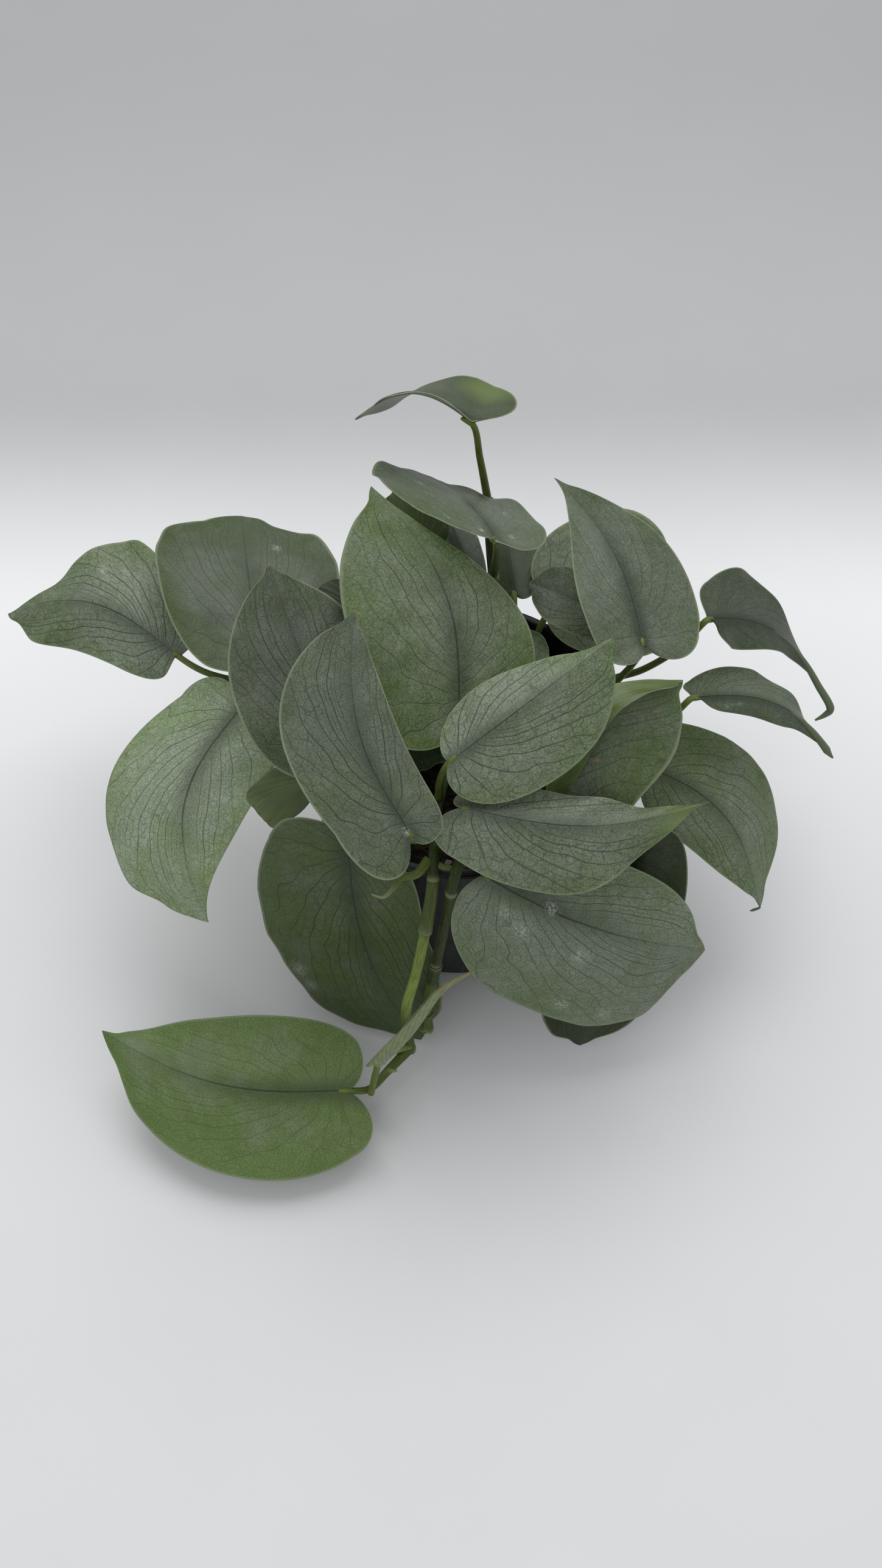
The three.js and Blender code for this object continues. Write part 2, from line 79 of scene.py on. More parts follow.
# %% [markdown]
# ## Small helpers for materials
#
# A shader is a tree of nodes. Writing each node and each link out in full makes long cells, so one
# helper makes a node with its settings and takes links and plain values alike.

# %% Material helpers
def node(tree, kind, settings=(), **inputs):
    """A node with its settings. Inputs are given by name, or as i0, i1 and so on by number."""
    made = tree.nodes.new("ShaderNode" + kind)
    for key, value in dict(settings).items():
        setattr(made, key, value)
    for key, value in inputs.items():
        spot = made.inputs[int(key[1:]) if key[1:].isdigit() else key.replace("_", " ")]
        if isinstance(value, bpy.types.NodeSocket):
            tree.links.new(value, spot)
        else:
            spot.default_value = value
    return made


def attribute(tree, name):
    """What the mesh carries for each point: a place, if the name ends in place, or else a number."""
    made = node(tree, "Attribute", {"attribute_name": name})
    return made.outputs["Vector" if name.endswith("_place") else "Fac"]


def noise_at(tree, place, scale, detail=2.0, roughness=0.5):
    """Cloudy noise from 0 to 1. The larger the scale, the finer it is."""
    return node(tree, "TexNoise", Vector=place, Scale=scale, Detail=detail, Roughness=roughness).outputs[0]


def mixed(tree, share, under, over):
    """One colour laid over another by a share from 0 to 1."""
    mix = node(tree, "Mix", {"data_type": "RGBA", "clamp_factor": True}, i0=share)
    for socket, value in ((mix.inputs[6], under), (mix.inputs[7], over)):
        if isinstance(value, bpy.types.NodeSocket):
            tree.links.new(value, socket)
        else:
            socket.default_value = (*value, 1)
    return mix.outputs[2]


def maths(tree, operation, first, *others, clamp=False):
    """Numbers put together one after another. clamp keeps each result between 0 and 1."""
    for other in others:
        made = node(tree, "Math", {"operation": operation, "use_clamp": clamp}, i0=first, i1=other)
        first = made.outputs[0]
    return first


def ramp(tree, value, low, high, start=0.0, end=1.0):
    """A value eased from start to end between low and high."""
    eased = node(tree, "MapRange", {"interpolation_type": "SMOOTHSTEP"}, Value=value)
    for name, number in (("From Min", low), ("From Max", high), ("To Min", start), ("To Max", end)):
        eased.inputs[name].default_value = number
    return eased.outputs[0]


def tinted(tree, colour, amount):
    """A colour made lighter or darker by an amount round 1."""
    scaled = node(tree, "VectorMath", {"operation": "SCALE"}, i0=colour)
    tree.links.new(amount, scaled.inputs["Scale"])
    return scaled.outputs[0]


def finish_of(name, roughness, **plain):
    """A new material and its tree. Sockets that are the same all over are set on the shader itself."""
    material = bpy.data.materials.new(name)
    material.use_nodes = True
    tree = material.node_tree
    shader = tree.nodes["Principled BSDF"]
    shader.inputs["Roughness"].default_value = roughness
    for key, value in plain.items():
        shader.inputs[key.replace("_", " ")].default_value = value
    return material, tree, shader


def bump(tree, shader, height, distance, strength):
    """Makes light fall as if the surface rose by a height. distance is in metres."""
    made = node(tree, "Bump", Height=height, Distance=distance, Strength=strength)
    tree.links.new(made.outputs[0], shader.inputs["Normal"])


print("material helpers ready")

# %% [markdown]
# ## Leaf finish, upper face
#
# A satin leaf looks silvery because tiny pockets of air under its skin scatter the light. Close to, it
# is a fine pale speckle over green, missing along the veins. Three kinds of vein show: the midrib, the
# side veins that leave it and sweep forward, and a net of small ones between.
#
# The mesh carries the leaf's own coordinates: its place on the flattened leaf in millimetres, a count
# that is a whole number on each side vein, and how far out from the midrib a point is. With those, a
# vein is a line of fixed width wherever its number is whole, and the net is a Voronoi pattern whose
# cells keep their size on every leaf, however it is bent. The dark midrib, and the shade painted into the
# valley beside it, fade towards the tip. A picture could be painted for each leaf instead, but lines
# worked out from the mesh stay sharp from close by. No two leaves look quite alike, so each mesh also says
# how silvery its leaf is, how light, which is partly painted light and shade, how clearly its veins show,
# and where it is worn pale, spotted tan or fresh green. One material then serves them all.

# %% Silver and veins
SILVER = (0.121, 0.146, 0.102)
LEAF_GREEN = (0.073, 0.113, 0.031)


def vein_line(tree, count, gap, thin, wide):
    """1 on the lines where count is whole, fading to 0 between thin and wide millimetres from them."""
    away = maths(tree, "MULTIPLY", maths(tree, "PINGPONG", count, 0.5), gap)
    return ramp(tree, away, thin, wide, 1.0, 0.0)


def net(tree, flat, push, scale, width):
    """A net of cells in millimetres, its threads width wide and bent by a push."""
    pushed = node(tree, "TexNoise", Vector=flat, Scale=0.5, Detail=2.0).outputs[1]
    bent = node(tree, "VectorMath", {"operation": "MULTIPLY_ADD"}, i0=pushed, i1=(push, push, 0.0), i2=flat)
    cells = node(tree, "TexVoronoi", {"feature": "DISTANCE_TO_EDGE"}, Vector=bent.outputs[0], Scale=scale)
    return ramp(tree, cells.outputs[0], 0.15 * width * scale, width * scale, 1.0, 0.0)


def silvery_green(tree, flat, out, blotch, speckle):
    """The skin between the veins: silver over green, in clouds and blotches, with a fine speckle."""
    cloud = noise_at(tree, flat, 0.045)
    share = maths(tree, "ADD", attribute(tree, "silver"), ramp(tree, cloud, 0.3, 0.7, -0.28, 0.28),
                  ramp(tree, out, 0.45, 1.0, 0.08, -0.22))
    share = maths(tree, "ADD", share, ramp(tree, blotch, 0.3, 0.7, -0.10, 0.10), clamp=True)
    colour = mixed(tree, share, LEAF_GREEN, SILVER)
    colour = tinted(tree, colour, ramp(tree, blotch, 0.3, 0.7, 0.93, 1.07))
    colour = tinted(tree, colour, ramp(tree, speckle, 0.30, 0.72, 0.62, 1.42))
    # The leaf's tone: partly its own colour, partly painted light and shade.
    return tinted(tree, colour, attribute(tree, "tone"))


def small_veins(tree, flat, out, gap, winding, room, blotch):
    """The side veins, broken finer ones midway between them, and the net, as strong as the leaf says."""
    side_line = maths(tree, "MULTIPLY", vein_line(tree, winding, gap, 0.05, 0.26), room,
                      ramp(tree, out, 0.5, 1.0, 0.80, 0.55))
    between = maths(tree, "ADD", winding, 0.5)
    broken = ramp(tree, noise_at(tree, flat, 0.12), 0.42, 0.62)
    fine_line = maths(tree, "MULTIPLY", vein_line(tree, between, gap, 0.03, 0.18), broken, 0.6, room)
    patchy = ramp(tree, blotch, 0.34, 0.62, 0.20, 0.54)
    threads = maths(tree, "MULTIPLY", net(tree, flat, 2.2, 0.29, 0.21), patchy)
    finest = maths(tree, "MULTIPLY", net(tree, flat, 1.2, 0.75, 0.16), 0.13)
    lines = maths(tree, "MAXIMUM", side_line, fine_line, threads)
    return maths(tree, "MAXIMUM", maths(tree, "MULTIPLY", lines, attribute(tree, "vein_strength")), finest)


print("silver and veins ready")

# %% Leaf finish, upper face
VEIN_AND_VALLEY_SHADE_GREEN = (0.012, 0.020, 0.011)
MARGIN_PALE = (0.185, 0.230, 0.135)
WORN_PALE = (0.34, 0.38, 0.32)
SPOT_TAN = (0.26, 0.17, 0.085)
FRESH_GREEN = (0.120, 0.170, 0.050)


def leaf_upper():
    material, tree, shader = finish_of("satin_leaf_upper", 0.42, Specular_IOR_Level=0.28)
    flat, out, gap = (attribute(tree, name) for name in ("flat_place", "out_from_midrib", "vein_gap"))
    across, far = attribute(tree, "across_mm"), attribute(tree, "along_leaf")
    blotch = noise_at(tree, flat, 0.22, 4.0, 0.6)
    speckle = noise_at(tree, flat, 2.2, 3.0, 0.75)
    wander = ramp(tree, noise_at(tree, flat, 0.07, 1.0), 0.3, 0.7, -0.20, 0.20)
    winding = maths(tree, "ADD", attribute(tree, "vein_count"), wander)
    room = ramp(tree, gap, 0.7, 2.6)

    lines = small_veins(tree, flat, out, gap, winding, room, blotch)
    midrib = maths(tree, "MULTIPLY", ramp(tree, across, 0.12, 0.6, 0.9, 0.0),
                   ramp(tree, far, 0.3, 1.0, 1.0, 0.3))
    lines = maths(tree, "MAXIMUM", lines, midrib)
    # Painted shade: the valley along the midrib is darkened towards the vein colour, most near the base,
    # where shade falls in the crease.
    valley = maths(tree, "MULTIPLY", ramp(tree, across, 0.2, 7.5, 0.58, 0.0),
                   ramp(tree, far, 0.1, 1.0, 1.0, 0.2))
    colour = silvery_green(tree, flat, out, blotch, speckle)
    colour = mixed(tree, maths(tree, "MAXIMUM", lines, valley), colour, VEIN_AND_VALLEY_SHADE_GREEN)
    colour = mixed(tree, ramp(tree, out, 0.965, 0.992, 0.0, 0.75), colour, MARGIN_PALE)

    crust = ramp(tree, noise_at(tree, flat, 1.4, 4.0), 0.40, 0.62)
    worn = maths(tree, "MULTIPLY", attribute(tree, "pale_mark"), crust, 0.85)
    colour = mixed(tree, worn, colour, WORN_PALE)
    colour = mixed(tree, attribute(tree, "tan_mark"), colour, SPOT_TAN)
    colour = mixed(tree, attribute(tree, "fresh"), colour, FRESH_GREEN)
    tree.links.new(colour, shader.inputs["Base Color"])

    tree.links.new(ramp(tree, speckle, 0.3, 0.7, 0.36, 0.50), shader.inputs["Roughness"])
    pillow = maths(tree, "MULTIPLY", maths(tree, "PINGPONG", winding, 0.5), 0.35, room)
    grooves = maths(tree, "MULTIPLY", lines, 0.45)
    height = maths(tree, "SUBTRACT", maths(tree, "MULTIPLY", speckle, 0.16), grooves)
    bump(tree, shader, maths(tree, "ADD", height, pillow), 0.0003, 0.7)
    return material


UPPER = leaf_upper()
print("upper face:", len(UPPER.node_tree.nodes), "shader nodes")

# %% [markdown]
# ## Leaf finish, underside and margin
#
# The underside has no silver. It is yellow green and a little glossier, with the side veins standing out
# slightly. Along the cut edge the skin is thin and pale, which draws the fine light line round each leaf.
# One material with a switch could serve all three, but short materials are easier to read, and each face
# of the mesh already says which one it wears.

# %% Leaf finish, underside and margin
UNDER_GREEN = (0.070, 0.110, 0.024)
UNDER_LIGHT = (0.090, 0.135, 0.034)
UNDER_VEIN = (0.13, 0.18, 0.05)
CUT_EDGE = (0.15, 0.19, 0.11)
CUT_EDGE_PALE = (0.28, 0.32, 0.22)
CUT_EDGE_TAN = (0.30, 0.15, 0.05)


def leaf_under():
    material, tree, shader = finish_of("leaf_underside", 0.45)
    cloud = noise_at(tree, attribute(tree, "flat_place"), 0.15, 3.0)
    colour = mixed(tree, ramp(tree, cloud, 0.3, 0.7), UNDER_GREEN, UNDER_LIGHT)
    colour = tinted(tree, colour, ramp(tree, cloud, 0.3, 0.7, 0.85, 1.1))
    # The leaf's tone: partly its own colour, partly painted light and shade.
    colour = tinted(tree, colour, attribute(tree, "tone"))
    side_vein = maths(tree, "PINGPONG", attribute(tree, "vein_count"), 0.5)
    side_vein = maths(tree, "MULTIPLY", side_vein, attribute(tree, "vein_gap"))
    line = ramp(tree, side_vein, 0.12, 0.5, 0.2, 0.0)
    colour = mixed(tree, line, colour, UNDER_VEIN)
    tree.links.new(colour, shader.inputs["Base Color"])
    bump(tree, shader, maths(tree, "ADD", line, maths(tree, "MULTIPLY", cloud, 0.2)), 0.0003, 0.5)
    return material


def leaf_margin():
    material, tree, shader = finish_of("leaf_margin", 0.4)
    cloud = noise_at(tree, attribute(tree, "flat_place"), 0.3, 3.0)
    colour = mixed(tree, ramp(tree, cloud, 0.3, 0.7), CUT_EDGE, CUT_EDGE_PALE)
    colour = mixed(tree, attribute(tree, "tan_mark"), colour, CUT_EDGE_TAN)
    tree.links.new(colour, shader.inputs["Base Color"])
    return material


UNDER = leaf_under()
MARGIN = leaf_margin()
print("underside and margin ready")

# %% [markdown]
# ## Stalk, sheath and vine finish
#
# Stalks are smooth and fleshy, olive in the shade and bright green where they are young. The mesh says
# how young each point is, and where a ring scar or a dry papery edge lies. A fine streak runs along the
# stalk, because its fibres do. It is noise, stretched along coordinates that go with the stalk, so it
# bends with it and needs no unwrapping.

# %% Stalk finish
STALK_OLD = (0.016, 0.027, 0.006)
STALK_YOUNG = (0.200, 0.270, 0.060)
STALK_SPECK = (0.33, 0.38, 0.18)
RING_SCAR = (0.28, 0.30, 0.16)
DRY_SHEATH = (0.23, 0.25, 0.13)


def stalk_finish():
    material, tree, shader = finish_of("fleshy_stalk", 0.42, Specular_IOR_Level=0.15)
    along = attribute(tree, "stalk_place")
    stretched = node(tree, "Mapping", Vector=along, Scale=(1.0, 1.0, 0.12)).outputs[0]
    streak = noise_at(tree, stretched, 1.6, 3.0)
    colour = mixed(tree, attribute(tree, "young"), STALK_OLD, STALK_YOUNG)
    colour = tinted(tree, colour, ramp(tree, streak, 0.3, 0.7, 0.78, 1.2))
    speck = noise_at(tree, along, 2.5, 1.0)
    colour = mixed(tree, ramp(tree, speck, 0.66, 0.74, 0.0, 0.35), colour, STALK_SPECK)
    colour = mixed(tree, attribute(tree, "ring"), colour, RING_SCAR)
    colour = mixed(tree, attribute(tree, "dry"), colour, DRY_SHEATH)
    tree.links.new(colour, shader.inputs["Base Color"])
    bump(tree, shader, streak, 0.0003, 0.35)
    return material


STALK = stalk_finish()
print("stalk finish ready")

# %% [markdown]
# ## The leaves and where they stand
#
# Each leaf is described the way it would be to someone across a table: where its base, its tip and its
# two sides are, seen from above the leaf with the tip up. A few more values say how it is bent:
# arch and bow bend the midrib, and each pair gives the left half and then the right half. curl bends
# that half across, wide says how far up it is widest, full makes its shoulder rounder or more pinched,
# lobe is the depth of its basal lobe, and turn twists it towards the tip. path leads down to the petiole's
# foot, which stands in the soil unless on names a stem.
#
# Each leaf could be modelled by hand, but thirty such meshes are hard to keep alike. A few points each can
# be read, compared and moved, and one function then makes them all.

# %% Leaf table
LEAVES = {
    "leaf_top": dict(base=(4, 78, 160), tip=(-34, 85, 153), left=(-4, 80, 166), right=(4, 110, 147), arch=9,
        curl=(-10, 10), wide=(0.2, 0.2), full=(0, -0.2), lobe=(0.05, 0.25), turn=(0, -25),
        path=[(7, 78, 142), (10, 77.5, 122)], on="back_stem"),
    "leaf_back_silver": dict(base=(11, 36, 152), tip=(-6, 79, 130), left=(-26, 65, 146),
        right=(26, 53, 140), arch=2, curl=(-15, 15), wide=(0.32, 0.32), full=(-0.1, -0.1),
        path=[(12, 44, 136), (12, 52, 120), (12, 58, 106.5)], on="back_stem"),
    "leaf_upright": dict(base=(0, -8, 120), tip=(-28, 54, 156), left=(-33, 2, 138), right=(24, 8, 124),
        arch=3, bow=9, curl=(25, 20), wide=(0.38, 0.1), full=(-0.35, -1.5), lobe=(0.1, 0.06),
        path=[(4, -2, 105), (6, 4)]),
    "leaf_far_left": dict(base=(-94, 28, 101), tip=(-157, 57, 86), left=(-113, 28, 93),
        right=(-109, 72, 106), arch=7, bow=9, curl=(0, 10), wide=(0.3, 0.25), full=(0.3, -1.9),
        lobe=(-0.02, 0.09), path=[(-83, 18, 105), (-60, 10, 106), (-46, 6, 100), (-38, 4)]),
    "leaf_left_broad": dict(base=(-64, 12, 119), tip=(-74, 76, 116), left=(-99, 45, 122),
        right=(-39, 42, 124), arch=6, curl=(-10, 15), wide=(0.52, 0.52), full=(1, 0.4), lobe=(0.08, 0.11),
        path=[(-52, 12, 110), (-40, 14, 98), (-34, 14)]),
    "leaf_left_grey": dict(base=(-37, -21, 120), tip=(-60, 30, 147), left=(-66, -21, 130),
        right=(-28, 7, 132), bow=-1, curl=(-15, 20), wide=(0.25, 0.32), full=(-0.2, -0.6),
        path=[(-36, -18, 106), (-36, -14)]),
    "leaf_front_left": dict(base=(-15, -57, 127), tip=(-32, 6, 154), left=(-45, -53, 140),
        right=(-8, -46, 130), bow=-8, curl=(-15, 20), wide=(0.16, 0.13), full=(0.05, -0.3),
        lobe=(0.17, 0.05), path=[(-14, -52, 115), (-8, -44, 105)], on="front_vine"),
    "leaf_left_hanging": dict(base=(-70, 1, 110), tip=(-83, -50, 58), left=(-60, -15, 98),
        right=(-113, -4, 86), arch=4, bow=13, curl=(10, -15), wide=(0.26, 0.34), full=(-0.9, 1.3),
        path=[(-60, 0, 106), (-47, -2, 101), (-40, -4)]),
    "leaf_low_left": dict(base=(-35, -45, 102), tip=(-13, -68, 5), left=(-13, -56, 85),
        right=(-66, -43, 61), arch=3, bow=6, curl=(10, -15), wide=(0.32, 0.28), full=(0.25, 0.7),
        lobe=(-0.06, 0.11), path=[(-32, -39, 101.5), (-27, -33, 99), (-24, -29)]),
    "leaf_young_green": dict(base=(-38, -95, 24), tip=(-120, -76, 30), left=(-66, -122, 12),
        right=(-56, -71, 30), arch=2, bow=-8, curl=(10, 10), wide=(0.36, 0.28), full=(0.6, -0.7),
        lobe=(0.1, 0.05), path=[(-30, -92, 18), (-24, -86, 19), (-16.5, -77, 18)], on="front_vine"),
    "leaf_centre": dict(base=(-3, -35, 133), tip=(46, -3, 152), left=(4, -15, 142), right=(31, -36, 127),
        arch=2, wide=(0.25, 0.4), full=(-0.9, -0.2), lobe=(0.03, 0.08), turn=(-30, 0),
        path=[(-6, -32, 118), (-6.5, -31, 104)], on="front_vine"),
    "leaf_front_pointed": dict(base=(1, -44, 121), tip=(78, -36, 112), left=(27, -36, 118),
        right=(29, -65, 104), arch=3, bow=7, wide=(0.3, 0.38), full=(-1.5, -1.2), lobe=(0.05, 0.11),
        path=[(1, -46, 114), (4, -46, 108)], on="side_vine"),
    "leaf_front_right": dict(base=(8, -57, 101), tip=(80, -62, 62), left=(38, -44, 98), right=(19, -74, 46),
        arch=4, bow=3, curl=(10, -10), full=(0.2, 0.8), lobe=(0.08, 0.08),
        path=[(10, -52, 102), (12, -46, 98), (13, -40)]),
    "leaf_low_right": dict(base=(59, -35, 80), tip=(42, -74, 13), left=(73, -50, 52), right=(33, -48, 44),
        arch=3, full=(0.3, 0.3), path=[(54, -32, 95), (46, -26, 102), (38, -22)]),
    "leaf_right_hanging": dict(base=(58, -13, 98), tip=(101, -42, 54), left=(93, 4, 84),
        right=(67, -25, 78), arch=3, bow=-10, curl=(-10, 10), full=(0.35, -0.6), lobe=(0.13, -0.06),
        path=[(55, -12, 102), (50, -11, 103), (44, -9, 99), (41, -8)]),
    "leaf_folded": dict(base=(28, -31, 107), tip=(70, -1, 127), left=(50, -14, 131), right=(56, -33, 108),
        bow=-17, curl=(20, 10), wide=(0.5, 0.42), full=(-0.1, -0.3), lobe=(0, 0.05),
        path=[(26, -28, 98), (24, -24)]),
    "leaf_right_upright": dict(base=(58, 11, 130), tip=(31, 68, 144), left=(39, 17, 137),
        right=(75, 18, 138), arch=2, bow=5, wide=(0.26, 0.1), full=(-1, -0.35), lobe=(0.07, 0.1),
        path=[(56, 13, 117), (50, 12, 105), (45, 10)]),
    "leaf_back_green": dict(base=(33, 51, 103), tip=(78, 56, 98), left=(54, 87, 107), right=(53, 27, 101),
        arch=2, full=(-0.3, 0), lobe=(0.2, 0.1), path=[(30, 45, 101.5), (27, 40, 98), (26, 36)]),
    "leaf_right_small": dict(base=(51, 31, 118), tip=(23, 43, 121), left=(37, 23, 119), right=(44, 44, 124),
        arch=1, path=[(50, 26, 110), (42, 22, 100), (38, 20)]),
    "leaf_right_curled": dict(base=(79, 18, 134), tip=(125, 15, 88), left=(90, 44, 127),
        right=(87, 13, 125), arch=3, bow=-11, curl=(20, 10), wide=(0.16, 0.14), full=(-1.75, -1.6),
        lobe=(0.05, -0.04), path=[(71, 16, 122), (60, 17, 108), (50, 17, 102), (43, 16)]),
    "leaf_right_narrow": dict(base=(74, -3, 121), tip=(122, -6, 92), left=(95, 14, 112),
        right=(93, -3, 110), arch=6, bow=-6, curl=(10, 10), wide=(0.4, 0.4), full=(-0.75, -1.3),
        lobe=(0.05, -0.05), path=[(68, -4, 113), (57, -1, 107), (48, -1, 102), (42, -1)]),
    "leaf_back_dark": dict(base=(19, 56, 100), tip=(17, 88, 98), left=(10, 74, 97), right=(28, 69, 100),
        arch=1, wide=(0.4, 0.4), full=(0.5, 0.5), path=[(19, 51, 101.5), (19, 46, 98), (19, 42)]),
    "leaf_back_left_dark": dict(base=(-1, 62, 100), tip=(-9, 85, 101), left=(-13, 74, 99),
        right=(5, 74, 99), arch=1, path=[(-2, 56, 102), (-5, 47, 98), (-6, 42)]),
    "leaf_inner_centre": dict(base=(3, 21, 113), tip=(30, 16, 113), left=(17, 31, 114), right=(14, 9, 112),
        arch=1, path=[(-2, 22, 104), (-4, 22)]),
    "leaf_inner_left": dict(base=(-25, 19, 128), tip=(-48, 28, 130), left=(-32, 32, 134),
        right=(-41, 12, 128), arch=1, path=[(-22, 21, 114), (-22, 24)]),
    "leaf_low_far_left": dict(base=(-46, -22, 104), tip=(-63, -32, 95), left=(-62, -17, 98),
        right=(-50, -34, 103), arch=1, full=(0.6, 0.6), path=[(-44, -18, 100), (-41, -12)]),
    "leaf_inner_front": dict(base=(-27, 13, 104), tip=(-10, -19, 104), left=(-4, 1, 104),
        right=(-28, -11, 104), arch=1, path=[(-28, 14, 98), (-28, 14)]),
    "leaf_back_narrow": dict(base=(7, 49, 104), tip=(-3, 83, 108), left=(-2, 64, 105), right=(7, 76, 103),
        arch=1, wide=(0.45, 0.7), full=(-0.2, -0.2), lobe=(0.11, 0), path=[(7, 43, 98), (6, 38)]),
    "leaf_back_left": dict(base=(-13, 65, 112), tip=(-22, 86, 118), left=(-4, 78, 114),
        right=(-25, 69, 114), arch=1, path=[(-12, 56, 106), (-12, 48, 99), (-12, 42)]),
    "leaf_inner_back": dict(base=(2, 32, 104), tip=(3, 55, 109), left=(-4, 47, 106), right=(8, 47, 106),
        arch=1, full=(0.4, 0.4), path=[(2, 31, 97), (2, 31)]),
}

# %% [markdown]
# ## How the leaves differ in colour
#
# Leaves of one plant differ with age and light. SILVER_SHARE runs from green to silvery, and
# TONE_AND_PAINTED_LIGHT makes a whole leaf lighter or darker: partly the leaf's own colour, and partly
# painted light and shade, lighter on leaves that face the light and darker on leaves in the shade of
# others. VEIN_STRENGTH says how clearly its veins show. RIPPLE is how far the margin waves, in
# millimetres. The marks are places on one leaf: how far out from the midrib, from -1 on the left margin to
# 1 on the right one, how far along the leaf, and a radius in millimetres. FRESH_TIPS says how many
# millimetres of a tip are still yellow green. Short tables by name are easier to change than one long row
# for each leaf, and a leaf that is left out is ordinary.

# %% Leaf looks
SILVER_SHARE = {
    "leaf_upright": 0.45, "leaf_left_broad": 0.6, "leaf_left_hanging": 0.75, "leaf_low_left": 0.12,
    "leaf_young_green": 0.0, "leaf_low_far_left": -0.6, "leaf_top": 0.3, "leaf_back_dark": 0.2,
    "leaf_back_left_dark": 0.2, "leaf_back_left": 0.0, "leaf_inner_centre": 0.3, "leaf_inner_back": 0.6,
    "leaf_folded": 0.6, "leaf_far_left": 0.8, "leaf_centre": 0.75, "leaf_back_green": 0.5,
    "leaf_right_hanging": 0.6, "leaf_inner_front": 0.2, "leaf_low_right": 0.3,
}
VEIN_STRENGTH = {
    "leaf_right_upright": 0.55, "leaf_back_silver": 0.45, "leaf_top": 0.3, "leaf_right_curled": 0.55,
    "leaf_right_narrow": 0.65, "leaf_folded": 0.75, "leaf_upright": 0.8, "leaf_left_broad": 0.6,
    "leaf_back_dark": 0.5, "leaf_young_green": 0.5, "leaf_left_hanging": 0.75, "leaf_right_hanging": 0.8,
    "leaf_front_right": 0.85,
}
RIPPLE = {
    "leaf_far_left": 1.6, "leaf_front_pointed": 1.3, "leaf_back_silver": 0.9, "leaf_folded": 0.3,
    "leaf_left_broad": 1.0, "leaf_front_left": 0.7, "leaf_right_narrow": 1.0, "leaf_right_curled": 0.9,
}
PALE_MARKS = {
    "leaf_front_left": [(-0.03, 0.01, 2.0)],
    "leaf_low_left": [(0.84, 0.62, 4.0), (0.80, 0.70, 3.4)],
    "leaf_front_right": [(0.27, 0.21, 4.6), (-0.03, 0.29, 2.8), (0.30, 0.49, 4.0), (0.82, 0.51, 3.8),
                         (0.81, 0.71, 3.4), (0.2, 0.12, 3.2)],
    "leaf_far_left": [(0.45, 0.45, 2.4), (0.55, 0.32, 1.6)],
    "leaf_left_broad": [(0.35, 0.72, 2.2)],
    "leaf_back_silver": [(-0.12, 0.03, 1.4), (-0.47, 0.02, 1.3), (0.3, 0.04, 1.5), (0.5, 0.4, 1.6),
                         (-0.5, 0.5, 1.6)],
    "leaf_right_narrow": [(0.55, 0.23, 1.5), (0.41, 0.29, 0.9)],
}
TAN_MARKS = {
    "leaf_centre": [(0.25, 0.40, 0.6)],
    "leaf_low_left": [(0.45, 0.57, 0.6)],
    "leaf_left_grey": [(0.0, 1.0, 1.2)],
    "leaf_folded": [(0.34, 0.79, 0.8), (0.95, 0.6, 0.8), (0.9, 0.7, 0.6), (0.56, 0.84, 0.7),
                    (0.45, 0.36, 0.7)],
    "leaf_front_left": [(0.0, 1.0, 1.2)],
    "leaf_front_right": [(0.0, 1.0, 1.0)],
}
# Partly each leaf's own colour, partly painted light and shade: leaves that face the light are painted
# lighter, and leaves under others darker.
TONE_AND_PAINTED_LIGHT = {
    "leaf_front_left": 0.82, "leaf_left_grey": 0.71, "leaf_upright": 1.22, "leaf_left_broad": 0.73,
    "leaf_far_left": 1.4, "leaf_left_hanging": 2.3, "leaf_low_left": 0.86, "leaf_young_green": 1.5,
    "leaf_centre": 1.4, "leaf_front_pointed": 1.2, "leaf_front_right": 1.4, "leaf_right_hanging": 1.48,
    "leaf_right_upright": 0.88, "leaf_right_curled": 0.58, "leaf_top": 0.6,
    "leaf_low_far_left": 0.75, "leaf_inner_left": 0.28, "leaf_inner_front": 0.6, "leaf_back_left": 0.6,
    "leaf_low_right": 0.38, "leaf_back_dark": 0.5, "leaf_back_left_dark": 0.5, "leaf_right_narrow": 0.93,
    "leaf_back_silver": 0.95,
}
FRESH_TIPS = {"leaf_front_pointed": 22.0, "leaf_inner_centre": 3.0}
FRESH_SPOTS = {"leaf_top": [(0.8, 0.0, 13.0)], "leaf_folded": [(-0.7, 0.75, 24.0)]}
print(len(LEAVES), "leaves in the table")

# %% [markdown]
# ## Bending a leaf
#
# A heart-shaped leaf drawn flat is two curves: one round the basal lobe out to the widest point, and one
# in to the tip. Bending it keeps that outline and lays it on a surface: the midrib is an arc from base to
# tip, and each half is an arc across, hinged on the midrib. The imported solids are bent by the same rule,
# so the finer leaf lies where its solid does, which sculpting wouldn't ensure. The rows of the mesh leave
# the midrib and sweep forward as the side veins do, so relief along a row is relief along a vein.

# %% Leaf outline and bent surface
LOBE_SHARE = 0.4
VEIN_SPACING = 1.8
VEIN_SWEEP = 1.35
LEAF_DEFAULTS = dict(arch=0, bow=0, curl=(0, 0), wide=(0.34, 0.34), full=(0, 0), lobe=(0.11, 0.11),
                     turn=(0, 0), on=None)


def unit(vectors):
    return vectors / np.maximum(np.linalg.norm(vectors, axis=-1, keepdims=True), 1e-9)


def cubic(a, b, c, d, t):
    return (1 - t) ** 3 * a + 3 * (1 - t) ** 2 * t * b + 3 * (1 - t) * t ** 2 * c + t ** 3 * d


